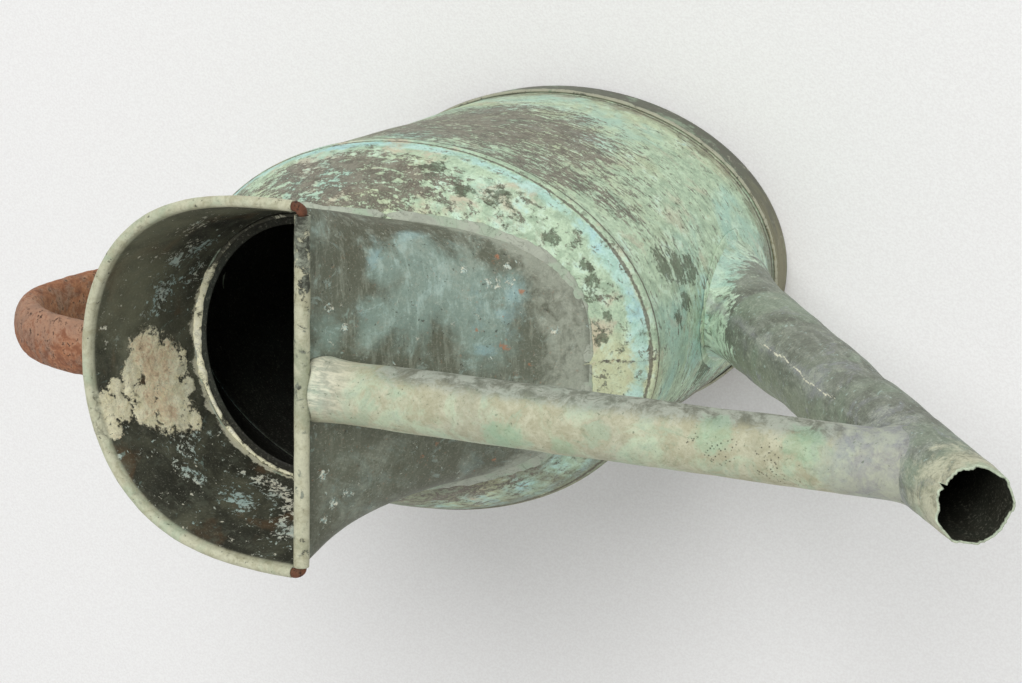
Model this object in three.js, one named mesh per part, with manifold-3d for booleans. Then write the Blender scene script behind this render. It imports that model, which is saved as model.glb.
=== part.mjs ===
// Watering can of soldered copper sheet, with an iron handle and an iron wire in its rim.
// Units are millimetres. +X points to the front (the spout), +Y to the can's left, +Z up.
// The origin is the centre of the oval base, on the floor.
import * as THREE from 'three';
import { mergeVertices } from 'three/addons/utils/BufferGeometryUtils.js';
import Module from 'manifold-3d';

const wasm = await Module();
wasm.setup();
const { lerp, clamp } = THREE.MathUtils;
const vec = (x, y, z) => new THREE.Vector3(x, y, z);
const range = (count, make) => Array.from({ length: count }, (_, i) => make(i));

// Sheet thickness, and the gap that soldered pieces keep to each other
const SHEET = 0.8;
const GAP = 0.3;

// Oval body wall, measured outside at the floor, and how much it widens up to the shoulder
const BASE_LENGTH = 267;
const BASE_WIDTH = 194;
const SHOULDER_HEIGHT = 222;
const SHOULDER_EXTRA_LENGTH = 10;
const SHOULDER_EXTRA_WIDTH = 6;

// Bottom plate and foot band
const BOTTOM_THICKNESS = 1.2;
const FOOT_BAND_HEIGHT = 21;
const FOOT_BAND_THICKNESS = 1.2;

// Shoulder dome, from its lap over the body wall up to the neck hole
const DOME_LAP = 4;
const DOME_BULGE = 8;
const NECK_LENGTH = 131;
const NECK_WIDTH = 143;
const NECK_HEIGHT = 289;
const NECK_SETBACK = 30;
const NECK_LEDGE = 6;

// Mouth: the straight bar in front and the curved rim of the hood behind it
const BAR_HEIGHT = 366;
const BAR_FORWARD = 10;
const BAR_LENGTH = 186;
const BAR_BEAD_RADIUS = 3.9;
const RIM_DEPTH = 129;
const RIM_SQUARENESS = 3;
const RIM_BACK_DROP = 9;
const BEAD_TURN = 1.6 * Math.PI;
const CORNER_NOTCH_RADIUS = 5.5;

// Iron wire that the rim and the bar are rolled over
const WIRE_RADIUS = 1.7;
const WIRE_CORNER_RADIUS = 4;

// Breast panel from the bar down to its seam on the dome
const BREAST_REACH = 108;
const BREAST_SQUARENESS = 2.8;
const BREAST_HOLLOW = 6;

// Tapered spout, measured on its axis
const SPOUT_ROOT_HEIGHT = 82;
const SPOUT_ROOT_INSET = 11;
const SPOUT_REACH = 351;
const SPOUT_TIP_HEIGHT = 383;
const SPOUT_ROOT_RADIUS = 25.5;
const SPOUT_TIP_RADIUS = 18.4;
const SPOUT_FLARE = 5.5;
const SPOUT_FLARE_LENGTH = 60;
const SPOUT_TEAR = 4;

// Brace tube from the bar to the spout
const BRACE_RADIUS = 15.9;
const BRACE_BAR_DROP = 12;
const BRACE_TIP_DISTANCE = 54;
const BRACE_FLATTENING = 0.8;
const BRACE_FLAT_LENGTH = 60;

// Iron handle: an oval tube bent into a hoop behind the can. The hoop reaches furthest back
// at a height where it has come down by the rise, and it goes on down by the drop.
const HANDLE_WIDTH = 29;
const HANDLE_THICKNESS = 17.4;
const HANDLE_WALL = 2;
const HANDLE_RIM_CLEARANCE = 1;
const HANDLE_RISE = 58;
const HANDLE_DROP = 112;
const HANDLE_REACH = 66.5;
const HANDLE_SETBACK = 124;

// Fineness of the facets
const OVAL_STEPS = 64;
const HOOD_STEPS = 40;
const PANEL_STEPS = 24;
const PANEL_ROWS = 7;
const BEAD_STEPS = 10;
const TUBE_STEPS = 20;
const HANDLE_STEPS = 26;
const DOME_STEPS = 6;
const SEAT_DEPTH = 3;

// A grid is a list of rows of points. This moves each point along the grid's normal there.
// With closed, each row is a loop.
function offsetGrid(rows, distance, closed) {
  const last = rows[0].length - 1;
  const across = (i) => closed ? (i + last + 1) % (last + 1) : clamp(i, 0, last);
  const along = (j) => clamp(j, 0, rows.length - 1);
  return rows.map((row, j) => row.map((point, i) => {
    const u = row[across(i + 1)].clone().sub(row[across(i - 1)]);
    const v = rows[along(j + 1)][i].clone().sub(rows[along(j - 1)][i]);
    return point.clone().addScaledVector(u.cross(v).normalize(), distance);
  }));
}

// Makes a geometry with its faces turned outwards.
function outward(points, index) {
  let volume = 0;
  for (let k = 0; k < index.length; k += 3) {
    const [a, b, c] = [points[index[k]], points[index[k + 1]], points[index[k + 2]]];
    volume += a.dot(b.clone().cross(c));
  }
  if (volume < 0) index.reverse();
  const geometry = new THREE.BufferGeometry().setFromPoints(points);
  geometry.setIndex(index);
  return geometry;
}

// Sheet metal: a closed shell between two offsets of a grid
function sheet(rows, from, to, closed) {
  const faces = [offsetGrid(rows, from, closed), offsetGrid(rows, to, closed)];
  const columns = rows[0].length;
  const count = rows.length * columns;
  const at = (face, j, i) => face * count + j * columns + (i % columns);
  const index = [];
  const quad = (a, b, c, d) => index.push(a, b, c, a, c, d);
  const spans = closed ? columns : columns - 1;
  const top = rows.length - 1;
  for (let i = 0; i < spans; i++) {
    for (let j = 0; j < top; j++) {
      quad(at(1, j, i), at(1, j, i + 1), at(1, j + 1, i + 1), at(1, j + 1, i));
      quad(at(0, j, i), at(0, j + 1, i), at(0, j + 1, i + 1), at(0, j, i + 1));
    }
    quad(at(0, 0, i), at(0, 0, i + 1), at(1, 0, i + 1), at(1, 0, i));
    quad(at(1, top, i), at(1, top, i + 1), at(0, top, i + 1), at(0, top, i));
  }
  for (let j = 0; j < top && !closed; j++) {
    const end = columns - 1;
    quad(at(0, j, 0), at(1, j, 0), at(1, j + 1, 0), at(0, j + 1, 0));
    quad(at(1, j, end), at(0, j, end), at(0, j + 1, end), at(1, j + 1, end));
  }
  return outward(faces.flat(2), index);
}

// Filled body through a row of loops, with a fan over each end
function filled(rings) {
  const columns = rings[0].length;
  const points = rings.flat();
  const index = [];
  const at = (j, i) => j * columns + (i % columns);
  for (let i = 0; i < columns; i++) {
    for (let j = 0; j < rings.length - 1; j++) {
      index.push(at(j, i), at(j, i + 1), at(j + 1, i + 1), at(j, i), at(j + 1, i + 1), at(j + 1, i));
    }
  }
  for (const j of [0, rings.length - 1]) {
    const hub = rings[j].reduce((sum, point) => sum.add(point), vec(0, 0, 0)).divideScalar(columns);
    const h = points.push(hub) - 1;
    for (let i = 0; i < columns; i++) {
      index.push(h, ...(j ? [at(j, i), at(j, i + 1)] : [at(j, i + 1), at(j, i)]));
    }
  }
  return outward(points, index);
}

// Round or oval loops along a path. across is the direction of the section's width.
function tubeGrid(path, across, width, height, sides = TUBE_STEPS) {
  return path.map((centre, j) => {
    const before = path[Math.max(j - 1, 0)];
    const after = path[Math.min(j + 1, path.length - 1)];
    const up = after.clone().sub(before).normalize().cross(across);
    return range(sides, (i) => {
      const angle = 2 * Math.PI * i / sides;
      return centre.clone()
        .addScaledVector(across, width(j) * Math.cos(angle))
        .addScaledVector(up, height(j) * Math.sin(angle));
    });
  });
}

// Turns a closed geometry into a solid that can be cut.
function solid(geometry) {
  const bare = geometry.clone();
  bare.deleteAttribute('normal');
  bare.deleteAttribute('uv');
  const merged = mergeVertices(bare, 1e-4);
  const vertProperties = new Float32Array(merged.attributes.position.array);
  const triVerts = new Uint32Array(merged.index.array);
  return new wasm.Manifold(new wasm.Mesh({ numProp: 3, vertProperties, triVerts }));
}

// Cuts every tool away from a geometry.
function cut(geometry, ...tools) {
  const left = tools.reduce((body, tool) => body.subtract(solid(tool)), solid(geometry));
  const { vertProperties, triVerts } = left.getMesh();
  const result = new THREE.BufferGeometry();
  result.setAttribute('position', new THREE.BufferAttribute(vertProperties, 3));
  result.setIndex(new THREE.BufferAttribute(triVerts, 1));
  return result;
}

const can = new THREE.Group();

function addPart(name, geometry, material) {
  geometry.computeVertexNormals();
  const mesh = new THREE.Mesh(geometry, new THREE.MeshStandardMaterial(material));
  mesh.name = name;
  can.add(mesh);
}

// An oval station holds the half length, half width, centre and height of one oval.
function ovalLoop({ length, width, centre, height }) {
  return range(OVAL_STEPS, (i) => {
    const angle = 2 * Math.PI * i / OVAL_STEPS;
    return vec(centre + length * Math.cos(angle), width * Math.sin(angle), height);
  });
}

// Outside of the body wall at a height, grown by a distance
function wallStation(height, grow = 0) {
  const share = height / SHOULDER_HEIGHT;
  const length = (BASE_LENGTH + SHOULDER_EXTRA_LENGTH * share) / 2 + grow;
  const width = (BASE_WIDTH + SHOULDER_EXTRA_WIDTH * share) / 2 + grow;
  return { length, width, centre: 0, height };
}

// Outside of the dome between its shoulder edge (share 0) and the neck seam (share 1)
const DOME_PROUD = GAP + SHEET;
function domeStation(share, grow = 0) {
  const edge = wallStation(SHOULDER_HEIGHT, DOME_PROUD);
  return {
    length: lerp(edge.length, NECK_LENGTH / 2, share) + grow,
    width: lerp(edge.width, NECK_WIDTH / 2, share) + grow,
    centre: -NECK_SETBACK * share,
    height: lerp(SHOULDER_HEIGHT, NECK_HEIGHT, share) + 4 * DOME_BULGE * share * (1 - share) + grow,
  };
}

// Height of the dome's outside over a point of the plan, found by halving
function domeHeight(x, y) {
  let low = 0;
  let high = 1;
  for (let step = 0; step < 30; step++) {
    const share = (low + high) / 2;
    const { length, width, centre } = domeStation(share);
    if (((x - centre) / length) ** 2 + (y / width) ** 2 < 1) low = share;
    else high = share;
  }
  return domeStation(low).height;
}

// Body wall, foot band and bottom plate
const wallFoot = BOTTOM_THICKNESS + GAP;
const wallTop = SHOULDER_HEIGHT - GAP;
const wallRows = [wallFoot, wallTop].map((height) => ovalLoop(wallStation(height)));
const footRows = [0, FOOT_BAND_HEIGHT].map((height) => ovalLoop(wallStation(height, GAP)));
const bottomRings = [0, BOTTOM_THICKNESS].map((height) => ovalLoop(wallStation(height)));
const wallBlock = filled([-SEAT_DEPTH, wallTop].map((height) => ovalLoop(wallStation(height, GAP))));

// Dome: a lap over the wall, a bulged cone, and a ledge round the neck hole
const domeShares = range(DOME_STEPS + 1, (j) => j / DOME_STEPS);
const ledge = domeStation(1);
const domeRows = [
  ovalLoop(wallStation(SHOULDER_HEIGHT - DOME_LAP, DOME_PROUD)),
  ...domeShares.map((share) => ovalLoop(domeStation(share))),
  ovalLoop({ ...ledge, length: ledge.length - NECK_LEDGE, width: ledge.width - NECK_LEDGE }),
];
const domeBlock = filled([
  ovalLoop(wallStation(SHOULDER_HEIGHT - DOME_LAP - GAP, DOME_PROUD + GAP)),
  ...domeShares.map((share) => ovalLoop(domeStation(share, GAP))),
]);

// Corner of the collar's base, where the hood and the breast panel meet on the dome
const breastHalf = BREAST_REACH + NECK_SETBACK;
const cornerAngle = Math.acos(((BAR_FORWARD + NECK_SETBACK) / breastHalf) ** (BREAST_SQUARENESS / 2));

// Seam of the breast panel on the dome, from the right corner (-1) over the front (0) to the left (1)
function breastSeam(side) {
  const angle = Math.abs(side) * cornerAngle;
  const x = breastHalf * Math.cos(angle) ** (2 / BREAST_SQUARENESS) - NECK_SETBACK;
  const y = Math.sign(side) * NECK_WIDTH / 2 * Math.sin(angle) ** (2 / BREAST_SQUARENESS);
  return vec(x, y, domeHeight(x, y));
}

// Seam of the hood on the dome, from the left corner (0) round the back to the right corner (1)
const HOOD_STRAIGHT = 0.05;
function hoodSeam(share) {
  const corner = breastSeam(share < 0.5 ? 1 : -1);
  const bend = clamp((share - HOOD_STRAIGHT) / (1 - 2 * HOOD_STRAIGHT), 0, 1);
  const angle = Math.PI * (0.5 + bend);
  const round = vec(NECK_LENGTH / 2 * Math.cos(angle) - NECK_SETBACK, NECK_WIDTH / 2 * Math.sin(angle), 0);
  const straight = clamp(Math.min(share, 1 - share) / HOOD_STRAIGHT, 0, 1);
  const point = vec(corner.x - GAP, corner.y, 0).lerp(round, straight);
  return point.setZ(domeHeight(point.x, point.y));
}

// Middle line of the rim's bead, from the left corner (0) round the back to the right corner (1)
function rimPoint(share) {
  const angle = Math.PI * clamp(share, 0, 1);
  const back = Math.sin(angle) ** (2 / RIM_SQUARENESS);
  return vec(BAR_FORWARD - RIM_DEPTH * back, BAR_LENGTH / 2 * Math.cos(angle),
    BAR_HEIGHT - RIM_BACK_DROP * Math.sin(angle) ** 2);
}

// One column of a sheet that stands on the dome and is rolled outwards over the wire at its top.
// hollow bends the wall between them inwards.
function rolledColumn(seam, wire, tangent, radius, wallSteps, hollow) {
  const up = wire.clone().sub(seam).normalize();
  const out = tangent.clone().cross(up).normalize();
  const rise = out.clone().cross(tangent).normalize();
  const top = wire.clone().addScaledVector(out, -radius);
  const foot = seam.clone().addScaledVector(top.clone().sub(seam).normalize(), -SEAT_DEPTH);
  const wall = range(wallSteps + 1, (j) => {
    const share = j / wallSteps;
    return seam.clone().lerp(top, share).addScaledVector(out, -4 * hollow * share * (1 - share));
  });
  const bead = range(BEAD_STEPS, (k) => {
    const turn = BEAD_TURN * (k + 1) / BEAD_STEPS;
    return wire.clone()
      .addScaledVector(out, -radius * Math.cos(turn))
      .addScaledVector(rise, radius * Math.sin(turn));
  });
  return [foot, ...wall, ...bead];
}

const transpose = (columns) => columns[0].map((_, j) => columns.map((column) => column[j]));

// Hood. Its ends stop behind the breast panel's back.
const HOOD_ROWS = 3;
const hoodBeadRadius = WIRE_RADIUS + GAP + SHEET;
const hoodStart = Math.asin(((BAR_BEAD_RADIUS + GAP) / RIM_DEPTH) ** (RIM_SQUARENESS / 2)) / Math.PI;
const hoodShares = range(HOOD_STEPS + 1, (i) => i / HOOD_STEPS);
const hoodWireShare = (share) => lerp(hoodStart, 1 - hoodStart, share);
const hoodColumns = hoodShares.map((share) => {
  const at = hoodWireShare(share);
  const tangent = rimPoint(at + 1e-3).sub(rimPoint(at - 1e-3)).normalize();
  return rolledColumn(hoodSeam(share), rimPoint(at), tangent, hoodBeadRadius, HOOD_ROWS, 0);
});
const hoodRows = transpose(hoodColumns);
const hoodBlock = filled(offsetGrid(hoodRows.slice(0, HOOD_ROWS + 2), SHEET + GAP, false));

// Breast panel and the rolled bar at its top. The three blocks trim whatever of the brace lies behind them.
const barAxis = vec(0, 1, 0);
const panelColumns = range(PANEL_STEPS + 1, (i) => {
  const side = 2 * i / PANEL_STEPS - 1;
  const wire = vec(BAR_FORWARD, side * BAR_LENGTH / 2, BAR_HEIGHT);
  return rolledColumn(breastSeam(side), wire, barAxis, BAR_BEAD_RADIUS, PANEL_ROWS, BREAST_HOLLOW * (1 - side ** 2));
});
const panelRows = transpose(panelColumns);
const panelBlock = filled(offsetGrid(panelRows.slice(0, PANEL_ROWS + 2), SHEET + GAP, false).map((row) => {
  const back = vec(-BAR_LENGTH / 4, 0, 0);
  return [...row, row.at(-1).clone().add(back), row[0].clone().add(back)];
}));
const barBlock = new THREE.CylinderGeometry(BAR_BEAD_RADIUS + GAP, BAR_BEAD_RADIUS + GAP, BAR_LENGTH, TUBE_STEPS)
  .translate(BAR_FORWARD, 0, BAR_HEIGHT);
const mouthBlock = new THREE.BoxGeometry(BAR_LENGTH / 4, BAR_LENGTH, 2 * BRACE_RADIUS)
  .translate(BAR_FORWARD - BAR_LENGTH / 8, 0, BAR_HEIGHT);
const notches = [-1, 1].map((side) => new THREE.SphereGeometry(CORNER_NOTCH_RADIUS, 16, 12)
  .translate(BAR_FORWARD, side * BAR_LENGTH / 2, BAR_HEIGHT));

// Rim wire, bent into the shape of the mouth. Its two ends meet in the middle of the bar.
const WIRE_SIDES = 8;
const WIRE_CORNER_STEPS = 4;
const wireStart = Math.asin((WIRE_CORNER_RADIUS / RIM_DEPTH) ** (RIM_SQUARENESS / 2)) / Math.PI;
const wireMiddle = [1, -1].map((side) => vec(BAR_FORWARD, side * GAP / 2, BAR_HEIGHT));
const wireCorners = [1, -1].map((side) => {
  const reach = BAR_LENGTH / 2 - WIRE_CORNER_RADIUS;
  return range(WIRE_CORNER_STEPS + 1, (k) => {
    const angle = Math.PI / 2 * k / WIRE_CORNER_STEPS;
    return vec(BAR_FORWARD - WIRE_CORNER_RADIUS * (1 - Math.cos(angle)),
      side * (reach + WIRE_CORNER_RADIUS * Math.sin(angle)), BAR_HEIGHT);
  });
});
const wirePath = [
  wireMiddle[0],
  ...wireCorners[0],
  ...hoodShares.map(hoodWireShare).filter((at) => at > wireStart && at < 1 - wireStart).map(rimPoint),
  ...wireCorners[1].reverse(),
  wireMiddle[1],
];
const wireRadius = () => WIRE_RADIUS;
const wireRings = tubeGrid(wirePath, vec(0, 0, 1), wireRadius, wireRadius, WIRE_SIDES);

// Spout: its axis starts inside the body, and the wall's outside trims its root.
const SPOUT_ROWS = 12;
const SPOUT_HOLE_EDGE = 3;
const spoutTip = vec(SPOUT_REACH, 0, SPOUT_TIP_HEIGHT);
const spoutRoot = vec(wallStation(SPOUT_ROOT_HEIGHT).length - SPOUT_ROOT_INSET, 0, SPOUT_ROOT_HEIGHT);
const spoutLength = spoutTip.distanceTo(spoutRoot);
const spoutAxis = spoutTip.clone().sub(spoutRoot).normalize();
const spoutInside = (SPOUT_ROOT_RADIUS + SPOUT_FLARE) * spoutAxis.z / spoutAxis.x + SEAT_DEPTH;
const spoutStations = range(SPOUT_ROWS + 1, (j) => lerp(-spoutInside, spoutLength, j / SPOUT_ROWS));
const spoutPath = spoutStations.map((at) => spoutRoot.clone().addScaledVector(spoutAxis, at));
function spoutRadius(at) {
  const flare = clamp(1 - at / SPOUT_FLARE_LENGTH, 0, 1);
  return lerp(SPOUT_ROOT_RADIUS, SPOUT_TIP_RADIUS, at / spoutLength) + SPOUT_FLARE * flare ** 2;
}
function spoutGrid(grow) {
  const radius = (j) => spoutRadius(spoutStations[j]) + grow;
  return tubeGrid(spoutPath, barAxis, radius, radius);
}
const spoutRows = spoutGrid(0);
spoutRows.at(-1).forEach((point, i) => {
  const angle = 2 * Math.PI * i / TUBE_STEPS;
  const torn = 0.5 + 0.3 * Math.sin(3 * angle + 1) + 0.2 * Math.sin(7 * angle);
  point.addScaledVector(spoutAxis, -SPOUT_TEAR * torn);
});
const spoutHole = filled(spoutGrid(-SPOUT_FLARE - SPOUT_HOLE_EDGE));
const spoutBlock = filled(spoutGrid(GAP));

// Brace: squeezed flat where it starts under the bar
const BRACE_ROWS = 7;
const braceStart = vec(BAR_FORWARD - BAR_BEAD_RADIUS + SHEET, 0, BAR_HEIGHT - BRACE_BAR_DROP);
const braceEnd = spoutTip.clone().addScaledVector(spoutAxis, -BRACE_TIP_DISTANCE);
const bracePath = range(BRACE_ROWS + 1, (j) => braceStart.clone().lerp(braceEnd, (j / BRACE_ROWS) ** 1.5));
const braceHeight = (j) => {
  const squeezed = clamp(bracePath[j].distanceTo(braceStart) / BRACE_FLAT_LENGTH, 0, 1);
  return BRACE_RADIUS * lerp(BRACE_FLATTENING, 1, squeezed);
};
const braceRows = tubeGrid(bracePath, barAxis, () => BRACE_RADIUS, braceHeight);

// Handle: half an egg shape in the can's middle plane, from under the rim down to the body's back
const HANDLE_OVERRUN = 0.12 * Math.PI;
const handleTop = BAR_HEIGHT - RIM_BACK_DROP - hoodBeadRadius - HANDLE_RIM_CLEARANCE - HANDLE_THICKNESS / 2;
const handlePath = range(HANDLE_STEPS + 1, (j) => {
  const angle = (Math.PI / 2 + HANDLE_OVERRUN) * (2 * j / HANDLE_STEPS - 1);
  const height = angle < 0 ? HANDLE_RISE : HANDLE_DROP;
  const x = -HANDLE_SETBACK - HANDLE_REACH * Math.cos(angle);
  return vec(x, 0, handleTop - HANDLE_RISE - height * Math.sin(angle));
});
const handleRows = tubeGrid(handlePath, barAxis, () => HANDLE_WIDTH / 2, () => HANDLE_THICKNESS / 2);

// The parts
const verdigris = { color: 0x93ae97, roughness: 0.85, metalness: 0.15 };
const paleVerdigris = { color: 0xb3b795, roughness: 0.8, metalness: 0.15 };
const darkCopper = { color: 0x636a5e, roughness: 0.7, metalness: 0.35 };
const brassyCopper = { color: 0x6f6f5c, roughness: 0.6, metalness: 0.5 };
const rust = { color: 0x8a4b33, roughness: 0.95, metalness: 0.1 };

addPart('body_wall', cut(sheet(wallRows, -SHEET, 0, true), spoutHole), verdigris);
addPart('foot_band', sheet(footRows, 0, FOOT_BAND_THICKNESS, true), brassyCopper);
addPart('bottom_plate', filled(bottomRings), brassyCopper);
addPart('shoulder_dome', sheet(domeRows, -SHEET, 0, true), verdigris);
addPart('hood', cut(sheet(hoodRows, 0, SHEET, false), domeBlock, ...notches), paleVerdigris);
addPart('breast_panel', cut(sheet(panelRows, 0, SHEET, false), domeBlock, ...notches), darkCopper);
addPart('rim_wire', filled(wireRings), rust);
addPart('spout', cut(sheet(spoutRows, -SHEET, 0, true), wallBlock), darkCopper);
const braceEnds = [panelBlock, barBlock, mouthBlock, spoutBlock];
addPart('brace_tube', cut(sheet(braceRows, -SHEET, 0, true), ...braceEnds), paleVerdigris);
addPart('handle', cut(sheet(handleRows, -HANDLE_WALL, 0, true), hoodBlock, wallBlock, domeBlock), rust);

export default can;
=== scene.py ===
"""Looks of a weathered watering can: copper sheet with verdigris, iron handle and rim wire with rust.

Metres, +X to the front (the spout), +Y to the can's left, +Z up. The origin is the centre of the
oval base. Every piece is a grid of points worked out from a few sizes, and its colours come from
procedural materials that read a few values painted on the points.
"""

import logging
import math
from dataclasses import dataclass, field
from enum import Enum
from itertools import product
from typing import Callable, ClassVar, Sequence

import bpy
import numpy as np
from mathutils import Matrix

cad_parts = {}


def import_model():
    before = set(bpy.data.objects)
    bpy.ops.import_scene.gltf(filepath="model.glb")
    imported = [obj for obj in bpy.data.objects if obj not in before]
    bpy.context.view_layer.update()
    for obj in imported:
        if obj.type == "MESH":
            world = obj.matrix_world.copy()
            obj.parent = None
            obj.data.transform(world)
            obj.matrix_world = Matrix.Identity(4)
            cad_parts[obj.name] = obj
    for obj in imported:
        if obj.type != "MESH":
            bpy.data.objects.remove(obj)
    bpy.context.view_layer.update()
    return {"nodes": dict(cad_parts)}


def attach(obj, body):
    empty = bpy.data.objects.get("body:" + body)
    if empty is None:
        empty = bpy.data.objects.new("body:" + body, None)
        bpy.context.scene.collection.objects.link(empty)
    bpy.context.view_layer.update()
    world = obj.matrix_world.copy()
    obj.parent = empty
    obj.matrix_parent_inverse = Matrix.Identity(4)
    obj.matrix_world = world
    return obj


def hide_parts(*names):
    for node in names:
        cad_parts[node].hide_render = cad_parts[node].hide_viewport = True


Array = np.ndarray
Colour = tuple[float, float, float]
Socket = bpy.types.NodeSocket
Material = bpy.types.Material
Spot = tuple[float, float, float, float]
Marks = dict[str, tuple[Spot, ...]]
Y_AXIS = np.array([0.0, 1.0, 0.0])
Z_AXIS = np.array([0.0, 0.0, 1.0])
LEVEL = np.array([1.0, 1.0, 0.0])
LOW_BITS = np.uint64(0xFFFFFFFF)
log = logging.getLogger("watering_can")


# Number helpers


def unit(vectors: Array) -> Array:
    """Returns the vectors divided by their lengths."""
    return vectors / np.maximum(np.linalg.norm(vectors, axis=-1, keepdims=True), 1e-12)


def smooth(value: Array, low: float, high: float) -> Array:
    """Returns 0 below low, 1 above high, and 3t² - 2t³ between them."""
    t = np.clip((value - low) / (high - low), 0.0, 1.0)
    return t * t * (3 - 2 * t)


def blend(a: Array, b: Array, share: Array) -> Array:
    """Returns a + (b - a) times share."""
    return a + (b - a) * share


def bell(distance: Array, width: float) -> Array:
    """Returns a soft bump: exp of minus the squared ratio of distance to width."""
    return np.exp(-((distance / width) ** 2))


def between(value: Array, rise: tuple[float, float], fall: tuple[float, float]) -> Array:
    """Returns 0, then 1 past the rise, then 0 again past the fall, each a smooth step."""
    return smooth(value, *rise) * (1 - smooth(value, *fall))


def round_angles(count: int) -> Array:
    """Returns even angles round a full turn."""
    return 2 * np.pi * np.arange(count) / count


def centred(angle: Array) -> Array:
    """Returns the angle brought to within half a turn of zero."""
    return np.angle(np.exp(1j * angle))


def to_ends(count: int, power: float) -> Array:
    """Returns shares from 0 to 1 that lie closer at both ends: each half is raised to the power."""
    t = np.linspace(0.0, 1.0, count)
    return np.where(t < 0.5, 0.5 * (2 * t) ** power, 1 - 0.5 * (2.0 - 2 * t) ** power)


def to_middle(count: int, power: float) -> Array:
    """Returns values from -1 to 1 that lie closer near 0: their size is raised to the power."""
    t = np.linspace(-1.0, 1.0, count)
    return np.sign(t) * np.abs(t) ** power


def ladder(*spans: tuple[float, float, int]) -> Array:
    """Returns rising values: each span gives its start, its end and how many it has."""
    return np.concatenate([np.linspace(*span) for span in spans])


def both_sides(values: Array) -> Array:
    """Returns a grid's values twice, for the front and the back of its shell."""
    return np.tile(values.ravel(), 2)


def lattice_noise(points: Array, cell: float, seed: int) -> Array:
    """Smooth random values from -1 to 1.

    Every corner of a cubic lattice has a random value, made by mixing the bits of its whole
    coordinates. A point blends its cell's eight corners by 3t² - 2t³ along each axis.

    Args:
        points: Places, with three coordinates last.
        cell: Size of a cell in metres.
        seed: Which pattern.

    Returns:
        One value for each place.
    """
    scaled = points / cell
    base = np.floor(scaled).astype(np.int64)
    t = scaled - base
    t = t * t * (3 - 2 * t)
    total = np.zeros(points.shape[:-1])
    for corner in product((0, 1), repeat=3):
        key = (base + np.array(corner)).astype(np.uint64)
        mixed = key[..., 0] * np.uint64(374761393) + key[..., 1] * np.uint64(668265263)
        mixed = mixed + key[..., 2] * np.uint64(2246822519) + np.uint64(seed * 9746347)
        mixed = mixed & LOW_BITS
        mixed = ((mixed ^ (mixed >> np.uint64(13))) * np.uint64(1274126177)) & LOW_BITS
        mixed ^= mixed >> np.uint64(16)
        weight = np.prod(np.where(np.array(corner) == 1, t, 1 - t), axis=-1)
        total += weight * (mixed.astype(float) / 2**31 - 1.0)
    return total


def fractal(points: Array, cell: float, octaves: int, seed: int) -> Array:
    """Lattice noise summed over octaves, each with half the cell and half the strength."""
    parts = [0.5**k * lattice_noise(points, cell * 0.5**k, seed + 17 * k) for k in range(octaves)]
    return np.sum(parts, axis=0) / (2.0 - 0.5 ** (octaves - 1))


def halving(test: Callable[[Array], Array], low: Array, high: Array, steps: int = 26) -> Array:
    """Finds where test turns positive between low and high, by halving the span again and again.

    Args:
        test: Gives a negative value before the place and a positive one after it.
        low: Values before the place.
        high: Values after it.
        steps: How often the span is halved.

    Returns:
        The place for each entry.
    """
    for _ in range(steps):
        middle = (low + high) / 2
        past = test(middle) > 0
        high = np.where(past, middle, high)
        low = np.where(past, low, middle)
    return (low + high) / 2


def spots(points: Array, places: Sequence[Spot]) -> Array:
    """Soft round spots.

    Args:
        points: Where the value is wanted.
        places: Centre and radius of each spot, in millimetres.

    Returns:
        1 at a centre, 0.5 at its radius, 0 far away; the strongest spot counts.
    """
    value = np.zeros(points.shape[:-1])
    for x, y, z, radius in places:
        distance = np.linalg.norm(points * 1000 - np.array([x, y, z]), axis=-1)
        value = np.maximum(value, 1 - smooth(distance, 0.2 * radius, 1.9 * radius))
    return value


# Meshes


def linked(name: str, data: bpy.types.ID) -> bpy.types.Object:
    """Makes an object of the data and links it to the scene."""
    made = bpy.data.objects.new(name, data)
    bpy.context.scene.collection.objects.link(made)
    return made


@dataclass
class Surface:
    """Points and faces of a closed mesh, and the values painted on its points."""

    points: Array
    quads: Array
    triangles: Array = field(default_factory=lambda: np.zeros((0, 3), int))
    paint: dict[str, Array] = field(default_factory=dict)

    def turn_out(self) -> None:
        """Turns every face over if the faces point inwards, which a negative volume shows."""
        split = np.concatenate([self.quads[:, [0, 1, 2]], self.quads[:, [0, 2, 3]], self.triangles])
        a, b, c = (self.points[split[:, k]] for k in range(3))
        if np.einsum("ij,ij->i", a, np.cross(b, c)).sum() < 0:
            self.quads = self.quads[:, ::-1]
            self.triangles = self.triangles[:, ::-1]

    def to_object(self, name: str, material: Material) -> bpy.types.Object:
        """Makes the Blender object.

        Args:
            name: Name of the object and its mesh.
            material: Its material.

        Returns:
            The object, linked to the scene, smooth shaded, at the origin.
        """
        self.turn_out()
        mesh = bpy.data.meshes.new(name)
        loops = np.concatenate([self.quads.ravel(), self.triangles.ravel()]).astype(np.int32)
        first = 4 * np.arange(len(self.quads))
        second = 4 * len(self.quads) + 3 * np.arange(len(self.triangles))
        mesh.vertices.add(len(self.points))
        mesh.vertices.foreach_set("co", self.points.astype(np.float32).ravel())
        mesh.loops.add(len(loops))
        mesh.loops.foreach_set("vertex_index", loops)
        mesh.polygons.add(len(first) + len(second))
        mesh.polygons.foreach_set("loop_start", np.concatenate([first, second]).astype(np.int32))
        mesh.update(calc_edges=True)
        mesh.polygons.foreach_set("use_smooth", np.ones(len(mesh.polygons), bool))
        for key, values in self.paint.items():
            attribute = mesh.attributes.new(key, "FLOAT", "POINT")
            attribute.data.foreach_set("value", values.astype(np.float32).ravel())
        mesh.materials.append(material)
        return linked(name, mesh)


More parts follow.
